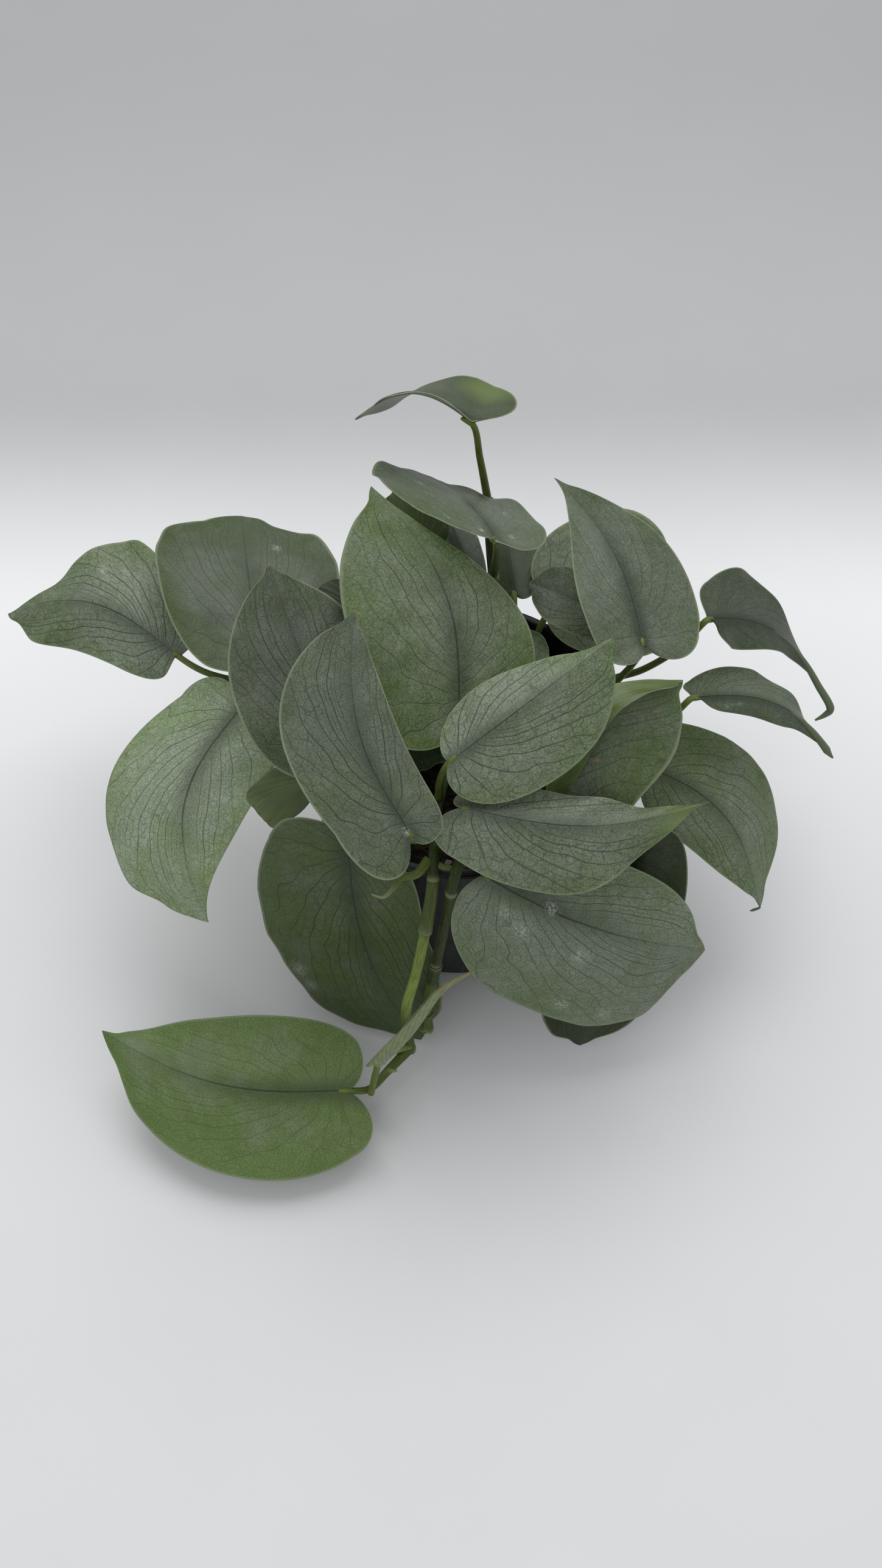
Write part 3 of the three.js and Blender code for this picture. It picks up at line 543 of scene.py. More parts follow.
def margin_line(s, wide, full, lobe):
    """The margin of one half, s = 0 at the notch and 1 at the tip: x across, y along."""
    early = s < LOBE_SHARE
    t = np.where(early, s / LOBE_SHARE, (s - LOBE_SHARE) / (1 - LOBE_SHARE))
    rest = 1 - wide
    shoulder = max(0.05, 0.58 + (0.35 if full > 0 else 0.52) * full)
    x = np.where(early, cubic(0, 0.1, 0.95, 1, t), cubic(1, 1.04, shoulder, 0, t))
    y = np.where(early, cubic(0, -1.8 * lobe, -1.55 * lobe, wide, t),
                 cubic(wide, wide + rest * (0.66 + 0.22 * full), wide + rest * (0.82 + 0.1 * full), 1, t))
    return x, y


def turned(vectors, axis, angle):
    """Vectors turned about an axis, each by its own angle."""
    cos, sin = np.cos(angle)[..., None], np.sin(angle)[..., None]
    return vectors * cos + np.cross(axis, vectors) * sin + axis * (vectors @ axis)[..., None] * (1 - cos)


def leaf_frame(leaf):
    """A leaf's way from base to tip, the way its upper face looks, its midrib, and its two halves."""
    base, tip, left, right = (np.array(leaf[key], float) for key in ("base", "tip", "left", "right"))
    along = tip - base
    up = unit(np.cross(right - left, along))
    across = unit(np.cross(unit(along), up))

    def midrib(y):
        rise = np.sin(np.pi * np.clip(y, 0, 1))[..., None]
        return base + along * y[..., None] + (up * leaf["arch"] + across * leaf["bow"]) * rise

    sides = [left - midrib(np.array(leaf["wide"][0])), right - midrib(np.array(leaf["wide"][1]))]
    return along, up, midrib, sides


def bent_surface(leaf, x, y):
    """Points of the leaf for x from -1, the left margin, to 1, the right one, and y along it."""
    along, up, midrib, sides = leaf_frame(leaf)
    points = np.empty(x.shape + (3,))
    for half, chosen in ((0, x <= 0), (1, x > 0)):
        out, far = np.abs(x[chosen]), y[chosen]
        twist = math.radians(leaf["turn"][half]) * (1 if half == 0 else -1)
        side = turned(np.broadcast_to(sides[half], far.shape + (3,)), unit(along),
                      twist * (np.clip(far, 0, 1) - leaf["wide"][half]))
        width = np.linalg.norm(side, axis=-1, keepdims=True)
        side = side / width
        lift = unit(up - side * (side @ up)[..., None])
        bend = math.radians(leaf["curl"][half] or 0.05)
        radius = width / (2 * math.sin(bend / 2))
        angle = (bend * out - bend / 2)[..., None]
        points[chosen] = (midrib(far) + side * radius * (np.sin(angle) + math.sin(bend / 2))
                          - lift * radius * (np.cos(angle) - math.cos(bend / 2)))
    return points


print("leaf surface ready")

# %% [markdown]
# ## Parts, and pieces made of them
#
# A leaf piece is a blade and a stalk in one mesh, and both bring values for the materials along with
# their points. A Part holds points, faces and those values until they are joined into one object. Joining
# them as lists of numbers, before Blender sees them, avoids selecting and joining objects one by one.

# %% Parts and pieces
class Part:
    """Points, faces, the number of the finish that each face wears, and values for the finishes."""

    def __init__(self, points, faces, finish, **values):
        self.points = np.asarray(points, float)
        self.faces = faces
        self.finish = np.broadcast_to(finish, len(faces))
        self.values = values


def used_only(points, faces, values):
    """Drops points that no face uses, and corners that a face has twice."""
    faces = [list(dict.fromkeys(face)) for face in faces]
    faces = [face for face in faces if len(face) > 2]
    kept = np.unique([corner for face in faces for corner in face])
    place = np.zeros(len(points), int)
    place[kept] = np.arange(len(kept))
    values = {key: np.asarray(value)[kept] for key, value in values.items()}
    return points[kept], [[int(place[c]) for c in face] for face in faces], values


def make_piece(name, parts, finishes, slot, *nodes, sharp=40):
    """One object out of parts. It replaces the nodes that are named."""
    points = np.concatenate([part.points for part in parts]) * MM
    starts = np.cumsum([0] + [len(part.points) for part in parts])
    faces = [[c + int(start) for c in face] for part, start in zip(parts, starts) for face in part.faces]
    mesh = bpy.data.meshes.new(name)
    mesh.from_pydata(points.tolist(), [], faces)
    finish_numbers = np.concatenate([part.finish for part in parts]).astype(np.int32)
    mesh.polygons.foreach_set("material_index", finish_numbers)
    mesh.polygons.foreach_set("use_smooth", np.ones(len(faces), bool))
    for key in sorted({key for part in parts for key in part.values}):
        wide = 3 if key in ("flat_place", "stalk_place") else 1
        columns = [np.reshape(part.values.get(key, [0.0] * wide), (-1, wide)) for part in parts]
        column = np.concatenate([np.broadcast_to(given, (len(part.points), wide))
                                 for given, part in zip(columns, parts)])
        made = mesh.attributes.new(key, "FLOAT_VECTOR" if wide == 3 else "FLOAT", "POINT")
        made.data.foreach_set("vector" if wide == 3 else "value", column.astype(np.float32).ravel())
    mesh.set_sharp_from_angle(angle=math.radians(sharp))
    for finish in finishes:
        mesh.materials.append(finish)
    piece = bpy.data.objects.new(name, mesh)
    bpy.context.scene.collection.objects.link(piece)
    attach(piece, "root")
    if nodes:
        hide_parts(*nodes)
    return piece


print("parts helper ready")

# %% [markdown]
# ## A blade as a thin sheet
#
# A leaf this size is about half a millimetre thick, thicker along the midrib, which stands out below as a
# keel and lies in a shallow valley above. Between the side veins the blade bulges up a little, and near
# the margin it ripples. Those are real shapes, so they are in the mesh, and only the net of small veins
# is left to the bump of the material. A Solidify modifier could thicken a flat sheet, but evenly, and a
# leaf is not even.

# %% Steps of a blade
SIDE_VEINS = 7.5
VEIN_START = 0.45
BLADE_ROWS = 76
HALF_COLUMNS = 24
ORDINARY_LEAF = 45.0
TIP_PINCH = 0.3
PINCH_PLACE = 0.95
PINCH_REACH = 0.035
THICKNESS_AT_EDGE = 0.28
THICKER_INSIDE = 0.24
VALLEY_DEPTH = 0.55
KEEL_DEPTH = 0.55
BULGE_PER_GAP = 0.008
ORDINARY_RIPPLE = 0.4
ORDINARY_SILVER = 0.9


def vein_gap(points, count):
    """How far apart, in millimetres, lines of whole count lie at each point of a grid."""
    down, over = np.gradient(points, axis=0), np.gradient(points, axis=1)
    count_down, count_over = np.gradient(count, axis=0), np.gradient(count, axis=1)
    dd, oo, do = (down * down).sum(-1), (over * over).sum(-1), (down * over).sum(-1)
    steep = count_down ** 2 * oo - 2 * count_down * count_over * do + count_over ** 2 * dd
    return np.sqrt(np.maximum(dd * oo - do ** 2, 1e-6) / np.maximum(steep, 1e-6))


def marks_at(flat, marks, widths, length):
    """How strongly listed marks cover each point of the flattened leaf."""
    cover = np.zeros(flat.shape[:2])
    for x, y, radius in marks:
        where = np.array([x * widths[0 if x <= 0 else 1], y * length])
        distance = np.linalg.norm(flat - where, axis=-1)
        cover = np.maximum(cover, np.clip(1.4 - 1.4 * distance / radius, 0, 1))
    return cover


def blade_grid(leaf, rows, half):
    """The flat leaf as rows of points: s down the rows, out from the midrib, and each point's x and y."""
    columns = np.arange(-half, half + 1)
    s = np.linspace(0, 1, rows + 1)[:, None] * np.ones(len(columns))
    out = np.abs(columns) / half * np.ones((rows + 1, 1))
    right = (columns > 0) * np.ones((rows + 1, 1), bool)
    lines = [margin_line(s, leaf["wide"][k], leaf["full"][k], leaf["lobe"][k]) for k in (0, 1)]
    edge_x, edge_y = (np.where(right, after, before) for before, after in zip(*lines))
    start = s ** VEIN_SPACING
    x = edge_x * out * np.where(right, 1, -1)
    y = start + (edge_y - start) * out ** VEIN_SWEEP
    broad = np.where(right, leaf["full"][1], leaf["full"][0]) > -0.8
    x = x * (1 - TIP_PINCH * broad * np.exp(-((y - PINCH_PLACE) / PINCH_REACH) ** 2))
    return s, out, right, x, y


def blade_faces(grid):
    """The faces of a blade, and for each the finish it wears: 0 above, 1 below and 2 at the margin."""
    rows, columns = np.subtract(grid.shape, 1)
    below = grid.size
    faces = []
    finish = []
    for r in range(rows):
        for c in range(columns):
            a, b, d, e = grid[r, c], grid[r, c + 1], grid[r + 1, c], grid[r + 1, c + 1]
            faces += [[a, b, e, d], [a + below, d + below, e + below, b + below]]
            finish += [0, 1]
        for c, flip in ((0, False), (columns, True)):
            a, d = grid[r, c], grid[r + 1, c]
            strip = [a, d, d + below, a + below]
            faces.append(strip[::-1] if flip else strip)
            finish.append(2)
    return faces, [number for number, face in zip(finish, faces) if len(set(face)) > 2]


def blade_lift(flat, s, out, right, count, gap, size, seed, ripple):
    """How far the blade is lifted off its smooth surface: bulges, valley, rippled margin and slow drift."""
    across = np.abs(flat[..., 0])
    bulge = BULGE_PER_GAP * np.minimum(gap, 6) * np.abs(np.sin(np.pi * count)) * np.sin(np.pi * out) ** 0.8
    valley = VALLEY_DEPTH * size * np.exp(-(across / (1.7 * size)) ** 2) * (1 - s)
    waves = 2 * np.pi * (2.6 * s + 0.8 * s ** 2) + seed
    ripples = ripple * out ** 3 * np.sin(waves + 1.3 * right) * np.sin(np.pi * s) ** 0.6
    drift = np.array([[1.1 * noise.noise((a / 17, b / 17, seed)) + 0.35 * noise.noise((a / 7, b / 7, seed))
                       for a, b in row] for row in flat]) * size
    lift = ripples + drift + bulge - valley
    lift[0], lift[-1] = lift[0].mean(), lift[-1].mean()
    return lift


def freshness(name, flat, y, widths, length):
    """How fresh green each point is: over a tip that is still young, or round a fresh spot."""
    if name in FRESH_TIPS:
        return np.clip(1.6 - 1.6 * (1 - y) * length / FRESH_TIPS[name], 0, 0.8)
    return 0.8 * marks_at(flat, FRESH_SPOTS.get(name, []), widths, length)


print("a blade has about", BLADE_ROWS * HALF_COLUMNS * 4 * 2, "triangles")

# %% One blade
def blade_part(name, leaf, rows=BLADE_ROWS, half=HALF_COLUMNS):
    """One leaf's blade. Its name seeds its ripples and drift, so that no two are alike."""
    seed = sum(map(ord, name))
    along, _, _, sides = leaf_frame(leaf)
    length = float(np.linalg.norm(along))
    widths = [float(np.linalg.norm(side)) for side in sides]
    size = math.sqrt(length * sum(widths) / 2) / ORDINARY_LEAF
    s, out, right, x, y = blade_grid(leaf, rows, half)
    points = bent_surface(leaf, x, y)
    normals = unit(np.cross(np.gradient(points, axis=1), np.gradient(points, axis=0)))
    for end, inner in ((0, 1), (-1, -2)):
        normals[end] = unit(normals[inner].mean(axis=0))

    flat = np.stack([x * np.where(right, widths[1], widths[0]), y * length], -1)
    across = np.abs(flat[..., 0])
    count = SIDE_VEINS * s / (VEIN_START + (1 - VEIN_START) * out)
    count = count + 0.15 * np.sin(7 * s + seed) + 0.5 * right
    gap = np.clip(vein_gap(points, count), 0.3, 12)
    ripple = RIPPLE.get(name, ORDINARY_RIPPLE)
    middle = points + normals * blade_lift(flat, s, out, right, count, gap, size, seed, ripple)[..., None]
    keel = KEEL_DEPTH * size * np.exp(-(across / (0.8 * size)) ** 2) * (1 - 0.85 * s)
    thick = THICKNESS_AT_EDGE + THICKER_INSIDE * (1 - out ** 4) * np.sin(np.pi * s) ** 0.3
    upper = middle + normals * (thick / 2)[..., None]
    lower = middle - normals * (thick / 2 + keel)[..., None]

    grid = np.arange(s.size).reshape(s.shape)
    grid[0], grid[-1] = grid[0, half], grid[-1, half]
    faces, finish = blade_faces(grid)
    values = {
        "flat_place": np.concatenate([flat, np.full(s.shape + (1,), seed % 97)], -1),
        "vein_count": count, "vein_gap": gap, "out_from_midrib": out, "across_mm": across / size,
        "along_leaf": y, "silver": np.full(s.shape, SILVER_SHARE.get(name, ORDINARY_SILVER)),
        "tone": np.full(s.shape, TONE_AND_PAINTED_LIGHT.get(name, 1.0)),
        "vein_strength": np.full(s.shape, VEIN_STRENGTH.get(name, 1.0)),
        "pale_mark": marks_at(flat, PALE_MARKS.get(name, []), widths, length),
        "tan_mark": marks_at(flat, TAN_MARKS.get(name, []), widths, length),
        "fresh": freshness(name, flat, y, widths, length),
    }
    values = {key: np.tile(value.reshape(grid.size, -1), (2, 1)) for key, value in values.items()}
    whole = np.concatenate([upper.reshape(-1, 3), lower.reshape(-1, 3)])
    whole, faces, values = used_only(whole, faces, values)
    return Part(whole, faces, finish, **values)


print("blade helper ready")

# %% [markdown]
# ## Stalks
#
# A stalk is a round section carried along a smooth path. The path is a curve through a few points, and
# the section turns with it as little as it can, so that it doesn't twist. A curve object with a bevel
# would make the same tube, but a mesh can carry values for its material at every point.

# %% Stalks along a path
def smooth_path(points, step=1.5):
    """Points about every step along a centripetal Catmull-Rom curve."""
    points = [np.array(point, float) for point in points]
    points = [2 * points[0] - points[1], *points, 2 * points[-1] - points[-2]]
    path = []
    for p0, p1, p2, p3 in zip(points, points[1:], points[2:], points[3:]):
        d0, d1, d2 = (max(np.linalg.norm(b - a), 1e-6) ** 0.5 for a, b in ((p0, p1), (p1, p2), (p2, p3)))
        m1 = ((p1 - p0) / d0 - (p2 - p0) / (d0 + d1) + (p2 - p1) / d1) * d1
        m2 = ((p2 - p1) / d1 - (p3 - p1) / (d1 + d2) + (p3 - p2) / d2) * d1
        for t in np.linspace(0, 1, max(2, int(np.linalg.norm(p2 - p1) / step)), endpoint=False):
            path.append(p1 + m1 * t + (3 * (p2 - p1) - 2 * m1 - m2) * t ** 2
                        + (2 * (p1 - p2) + m1 + m2) * t ** 3)
    return np.array(path + [points[-2]])


def distances(path):
    """How far along a path each of its points is."""
    return np.concatenate([[0], np.cumsum(np.linalg.norm(np.diff(path, axis=0), axis=1))])


def stalk_part(path, radii, finish=0, sides=14, squash=1.0, **values):
    """A closed tube. radii is one number for each point of the path, and so may each value be."""
    path = np.asarray(path)
    radii = np.broadcast_to(radii, len(path)).astype(float)
    ways = unit(np.gradient(path, axis=0))
    side = unit(np.cross(ways[0], [0.3, 0.2, 0.9]))
    rings, places = [], []
    angles = 2 * np.pi * np.arange(sides) / sides
    for centre, way, radius, far in zip(path, ways, radii, distances(path)):
        side = unit(side - way * (side @ way))
        other = np.cross(way, side)
        ring = np.cos(angles)[:, None] * side + squash * np.sin(angles)[:, None] * other
        rings.append(centre + radius * ring)
        places.append(np.stack([radius * np.cos(angles), radius * np.sin(angles), np.full(sides, far)], -1))
    count = len(path)
    faces = []
    for k in range(count - 1):
        for c in range(sides):
            a, b = k * sides + c, k * sides + (c + 1) % sides
            faces.append([a, b, b + sides, a + sides])
    faces.append(list(range(sides))[::-1])
    faces.append(list(range((count - 1) * sides, count * sides)))
    spread = {key: np.repeat(np.broadcast_to(value, count), sides) for key, value in values.items()}
    return Part(np.concatenate(rings), faces, finish, stalk_place=np.concatenate(places), **spread)


print("stalk helper ready")

# %% [markdown]
# ## Leaves on their petioles
#
# Each petiole runs from under the midrib to its foot. It is thinnest and greenest at the blade and
# swells towards the foot, where a real one clasps the stem. On a few leaves the last of the blade rolls
# up and turns back. Such a tip is drawn as a slim roll that starts inside the blade, along the midrib,
# and runs past its end, since bending the flat blade that far would crease it.

# %% Make the leaves
SOIL_TOP = 87.0
FOOT_DEPTH = 12.0
JOINT_INSIDE = 3.5
JOINT_BELOW = 1.7
PETIOLE_RADIUS = 1.05
PETIOLE_SWELL = 0.40
SHEATH_SWELL = 0.85


def foot(x, y):
    """A stem's foot stands upright in the soil."""
    return [(x, y, SOIL_TOP + 3), (x, y, SOIL_TOP - 1), (x, y, SOIL_TOP - FOOT_DEPTH)]


def petiole_part(name, leaf):
    """A leaf's stalk. The young green leaf's own foot is a sheath, so it swells more."""
    along, up, midrib, _ = leaf_frame(leaf)
    length = float(np.linalg.norm(along))
    joint = midrib(np.array(JOINT_INSIDE / length)) - up * JOINT_BELOW
    end = leaf["path"]
    if leaf["on"] is None:
        end = end[:-1] + foot(*leaf["path"][-1])
    path = smooth_path([joint, tuple(np.array(leaf["base"]) - up * 0.9), *end])
    share = distances(path) / distances(path)[-1]
    swell = SHEATH_SWELL if name == "leaf_young_green" else PETIOLE_SWELL
    radii = PETIOLE_RADIUS + swell * share ** 1.5
    radii = np.minimum(radii, 0.5 + distances(path) * 0.25)
    young = 0.50 - 0.22 * share
    return stalk_part(path, radii, finish=3, young=young, ring=0.0, dry=0.0)


ROLLED_TIPS = {
    "leaf_right_curled": (0.45, 1.7, [(123.4, 14, 86.4), (120.1, 12.6, 85.2)]),
    "leaf_right_narrow": (0.60, 1.6, [(122.8, -6.4, 91.2)]),
    "leaf_right_hanging": (0.96, 0.6, [(100.0, -41.8, 52.4), (98.0, -42.0, 51.4)]),
}


def rolled_tip_part(leaf, start, thick, points):
    """The rolled end of a tip: it follows the midrib from start, then turns back through the points."""
    _, _, midrib, _ = leaf_frame(leaf)
    path = smooth_path([*midrib(np.linspace(start, 1, 5)), *points], 0.4)
    share = distances(path) / distances(path)[-1]
    radii = thick * np.interp(share, [0, 0.5, 0.85, 1], [0.1, 0.8, 1, 0.25])
    looks = dict(silver=0.5, tone=1.0, across_mm=9.0, vein_gap=6.0, vein_count=0.5, vein_strength=0.0)
    return stalk_part(path, radii, finish=0, sides=16, squash=0.8, **looks)


SMALL_LEAF = 40.0
SMALL_ROWS = 44
SMALL_HALF = 10
triangles = 0
for name, row in LEAVES.items():
    leaf = {**LEAF_DEFAULTS, **row}
    small = np.linalg.norm(np.subtract(leaf["tip"], leaf["base"])) < SMALL_LEAF
    blade = blade_part(name, leaf, SMALL_ROWS, SMALL_HALF) if small else blade_part(name, leaf)
    parts = [blade, petiole_part(name, leaf)]
    if name in ROLLED_TIPS:
        parts.append(rolled_tip_part(leaf, *ROLLED_TIPS[name]))
    make_piece("satin_" + name, parts, [UPPER, UNDER, MARGIN, STALK], "leaf", name, sharp=50)
    triangles += sum(len(face) - 2 for face in blade.faces)
print(len(LEAVES), "leaves made, blades have", triangles, "triangles")

# %% [markdown]
# ## The vines
#
# A vine is a chain of joints. Each joint ends in a ring scar, and the newest ones come out of a sheath
# with a dry, ragged edge. The front vine turns from dark olive to fresh green where it leaves its sheath.
# Each vine is one tube that is a little thicker at its rings, because a tube along one smooth path keeps
# the hanging curve unbroken, which joints made apart would not.

# %% Vines
VINES = {
    "front_vine": dict(points=[*foot(-1, -6)[::-1], (-4, -18, 100), (-7, -34, 105), (-8, -50, 105),
                               (-8.5, -58.5, 98), (-11, -64, 78), (-14, -69, 59), (-17.5, -73, 39),
                               (-16.3, -77, 16)],
                       rings=(100.0, 17.5), fresh=(78.0, 40.0), hangs=True),
    "side_vine": dict(points=[*foot(8, -14)[::-1], (7, -30, 102), (4, -46, 108), (-1, -57, 106),
                              (-4, -61.5, 85), (-7.5, -65, 58), (-10.5, -69, 34), (-11, -72, 22)],
                      rings=(97.0, 58.0), fresh=None, hangs=True),
    "back_stem": dict(points=[*foot(13, 43)[::-1], (13, 47, 98), (12.5, 53, 103), (11, 66, 112),
                              (10, 78, 123)],
                      rings=(106.0, 120.0), fresh=None, hangs=False),
}
VINE_RADIUS = 1.9
RING_HEIGHT = 0.8
YOUNGER_BELOW = 58.0


def vine_parts(points, rings, fresh, hangs):
    """One vine. Its rings and its fresh stretch are heights, past its highest point if it hangs."""
    path = smooth_path(points, 0.8)
    height = path[:, 2]
    counted = np.arange(len(path)) > (np.argmax(height) if hangs else 0)
    near = counted * np.max([np.exp(-((height - ring) / RING_HEIGHT) ** 2) for ring in rings], axis=0)
    young = 0.04 + 0.22 * counted * (height < YOUNGER_BELOW)
    if fresh:
        past_top, past_end = np.exp(height - fresh[0]), np.exp((fresh[1] - height) / 3)
        young = young + 0.74 * counted / (1 + past_top) / (1 + past_end)
    radii = VINE_RADIUS - 0.15 + 0.25 * near + 0.06 * np.sin(distances(path) / 5)
    return [stalk_part(path, radii, sides=20, young=young, ring=0.55 * near, dry=0.0)]


for name, vine in VINES.items():
    make_piece("fleshy_" + name, vine_parts(**vine), [STALK], "stem", name)
print(len(VINES), "vines made")

# %% [markdown]
# ## Sheaths, buds and roots
#
# A young joint comes out of a dry sheath, and when the joint has grown the sheath stays as a ragged
# collar. A collar is a thin shell laid round the vine's own path, with a torn upper edge made by noise.
# One old sheath curls free like a horn, and buds and root nubs are short stalks that end in a point.
# They could all be part of the vines' meshes, but as pieces of their own they are easy to find and change.

# %% Sheaths and small growths
COLLAR_TURNS = 20
COLLAR_WALL = 0.22


def shell_faces(rows, turns):
    """The faces of an open shell whose points are an outer sheet, then an inner one, row by row."""
    inner = rows * turns
    faces = []
    for k in range(rows - 1):
        for c in range(turns - 1):
            a, b = k * turns + c, k * turns + c + 1
            faces.append([a, b, b + turns, a + turns])
            faces.append([a + inner, a + turns + inner, b + turns + inner, b + inner])
        a, b = k * turns, k * turns + turns - 1
        faces.append([a, a + turns, a + turns + inner, a + inner])
        faces.append([b, b + inner, b + turns + inner, b + turns])
    for c in range(turns - 1):
        top = (rows - 1) * turns + c
        faces.append([top, top + 1, top + 1 + inner, top + inner])
        faces.append([c + 1, c, c + inner, c + 1 + inner])
    return faces


def collar(path, radii, dry, young, seed, ragged=1.2):
    """An open sheath round a path, with a torn upper edge and a wall that can be seen from both sides."""
    turns = COLLAR_TURNS
    ways = unit(np.gradient(path, axis=0))
    side = unit(np.cross(ways[0], [0.3, 0.2, 0.9]))
    outer, inner, place = [], [], []
    angles = np.linspace(0, 2 * np.pi, turns)
    torn = np.array([ragged * noise.noise((2.5 * math.cos(a), 2.5 * math.sin(a), seed)) for a in angles])
    far = distances(path)
    for centre, way, radius, reached in zip(path, ways, radii, far):
        side = unit(side - way * (side @ way))
        ring = np.cos(angles)[:, None] * side + np.sin(angles)[:, None] * np.cross(way, side)
        centre = centre + way * (torn * reached / far[-1])[:, None]
        outer.append(centre + ring * radius)
        inner.append(centre + ring * (radius - COLLAR_WALL))
        around = [radius * np.cos(angles), radius * np.sin(angles), np.full(turns, reached)]
        place.append(np.stack(around, -1))
    share = np.repeat(far / far[-1], turns)
    return Part(np.concatenate(outer + inner), shell_faces(len(path), turns), 0,
                stalk_place=np.concatenate(place * 2), ring=0.0, young=young,
                dry=np.tile(np.clip(dry * share ** 9, 0, 1), 2))


def spike(points, thick, thin, young, dry):
    """A short stalk that ends in a point. dry is how dry and pale its end is."""
    path = smooth_path(points, 0.6)
    share = distances(path) / distances(path)[-1]
    radii = thick + (thin - thick) * share ** 1.4
    return stalk_part(path, radii, sides=12, squash=0.8, young=young, ring=0.0, dry=dry * share)


def along_vine(name, start, stop, grown):
    """A hanging vine from one height to another, and its sheath's radius at each point."""
    path = smooth_path(VINES[name]["points"], 0.5)
    path = path[np.argmax(path[:, 2]):]
    path = path[(path[:, 2] < max(start, stop)) & (path[:, 2] > min(start, stop))]
    if start < stop:
        path = path[::-1]
    share = np.linspace(0, 1, len(path))
    return path, VINE_RADIUS + 0.12 + grown * share ** 2


sheaths = [
    collar(*along_vine("front_vine", 100.0, 78.0, 0.35), dry=0.6, young=0.2, seed=3),
    collar(*along_vine("side_vine", 48.0, 58.0, 0.3), dry=0.5, young=0.08, seed=5),
    collar(*along_vine("side_vine", 31.0, 22.6, 0.6), dry=0.8, young=0.25, ragged=2.0, seed=9),
]
make_piece("dry_sheaths", sheaths, [STALK], "stem")

horn = smooth_path([(-9.6, -52.4, 104), (-13.5, -57, 103), (-18.4, -56.8, 100), (-20.7, -58.6, 97),
                    (-24, -60.2, 94), (-27.7, -58.5, 93)], 0.8)
horn_share = distances(horn) / distances(horn)[-1]
bits = [
    stalk_part(horn, np.interp(horn_share, [0, 0.33, 0.66, 1], [1.75, 1.3, 0.9, 0.2]), sides=14, squash=0.7,
               young=0.35, ring=0.0, dry=np.clip((horn_share - 0.55) * 3, 0, 0.95)),
    spike([(-16.6, -76.9, 20), (-20.5, -79, 21), (-24, -80.2, 20.5), (-25.3, -84.6, 22)],
          1.5, 0.4, 0.6, 0.7),
    spike([(-24.2, -85.6, 19.4), (-22.6, -86.2, 20), (-20.8, -86.6, 20.8)], 1.2, 0.4, 0.5, 1.0),
    spike([(-8, -53, 103), (-5, -54.5, 103), (-2, -54.8, 103), (1.5, -53, 101.5)], 1.3, 0.7, 0.3, 0.3),
]
make_piece("curled_sheath_and_buds", bits, [STALK], "stem")
print("sheaths and growths made")

# %% [markdown]
# ## The furled leaf
#
# A pothos leaf comes out rolled up tight round its own midrib. The roll is widest near its foot and runs
# out to a thin brownish tip. The free margin winds round the roll, so it is a spiral in section: a sheet
# that overlaps itself, which is how it is built, one spiral for each step along the line. Its foot opens
# in a slanting mouth, which shows the roll's layers, and a core keeps daylight from showing through.

# %% Furled leaf
FURLED_LINE = [(-27, -92, 40), (-16, -88, 57), (-5, -80.5, 71.5), (3.5, -77.5, 76.5)]
FURLED_RADII = [2.3, 2.75, 2.45, 1.9, 1.3, 0.6]
FURLED_MOUTH = (-0.72, 0.583, 0.369)
FURLED_TURNS = 40
FURLED_WALL = 0.25
FURLED_WINDS = 1.35
FURLED_START = 1.9
FURLED_TWIST = 2.6
FURLED_FLATNESS = 0.86
MOUTH_REACH = 4.4
MOUTH_SHARE = 0.25
ROLL_GREEN = (0.155, 0.190, 0.085)
ROLL_PALE = (0.205, 0.245, 0.120)
ROLL_VEIN = (0.07, 0.11, 0.035)
ROLL_BROWN = (0.22, 0.13, 0.06)


def furled_finish():
    material, tree, shader = finish_of("young_rolled_leaf", 0.4)
    place = attribute(tree, "stalk_place")
    split = node(tree, "SeparateXYZ", Vector=place)
    slant = maths(tree, "ADD", maths(tree, "MULTIPLY", split.outputs[0], 0.55),
                  maths(tree, "MULTIPLY", split.outputs[2], 0.36))
    line = ramp(tree, maths(tree, "PINGPONG", slant, 0.5), 0.0, 0.12, 0.6, 0.0)
    cloud = noise_at(tree, place, 0.5, 3.0)
    colour = mixed(tree, ramp(tree, cloud, 0.3, 0.7), ROLL_GREEN, ROLL_PALE)
    colour = mixed(tree, line, colour, ROLL_VEIN)
    colour = mixed(tree, attribute(tree, "dry"), colour, ROLL_BROWN)
    tree.links.new(colour, shader.inputs["Base Color"])
    bump(tree, shader, maths(tree, "SUBTRACT", cloud, line), 0.0003, 0.4)
    return material


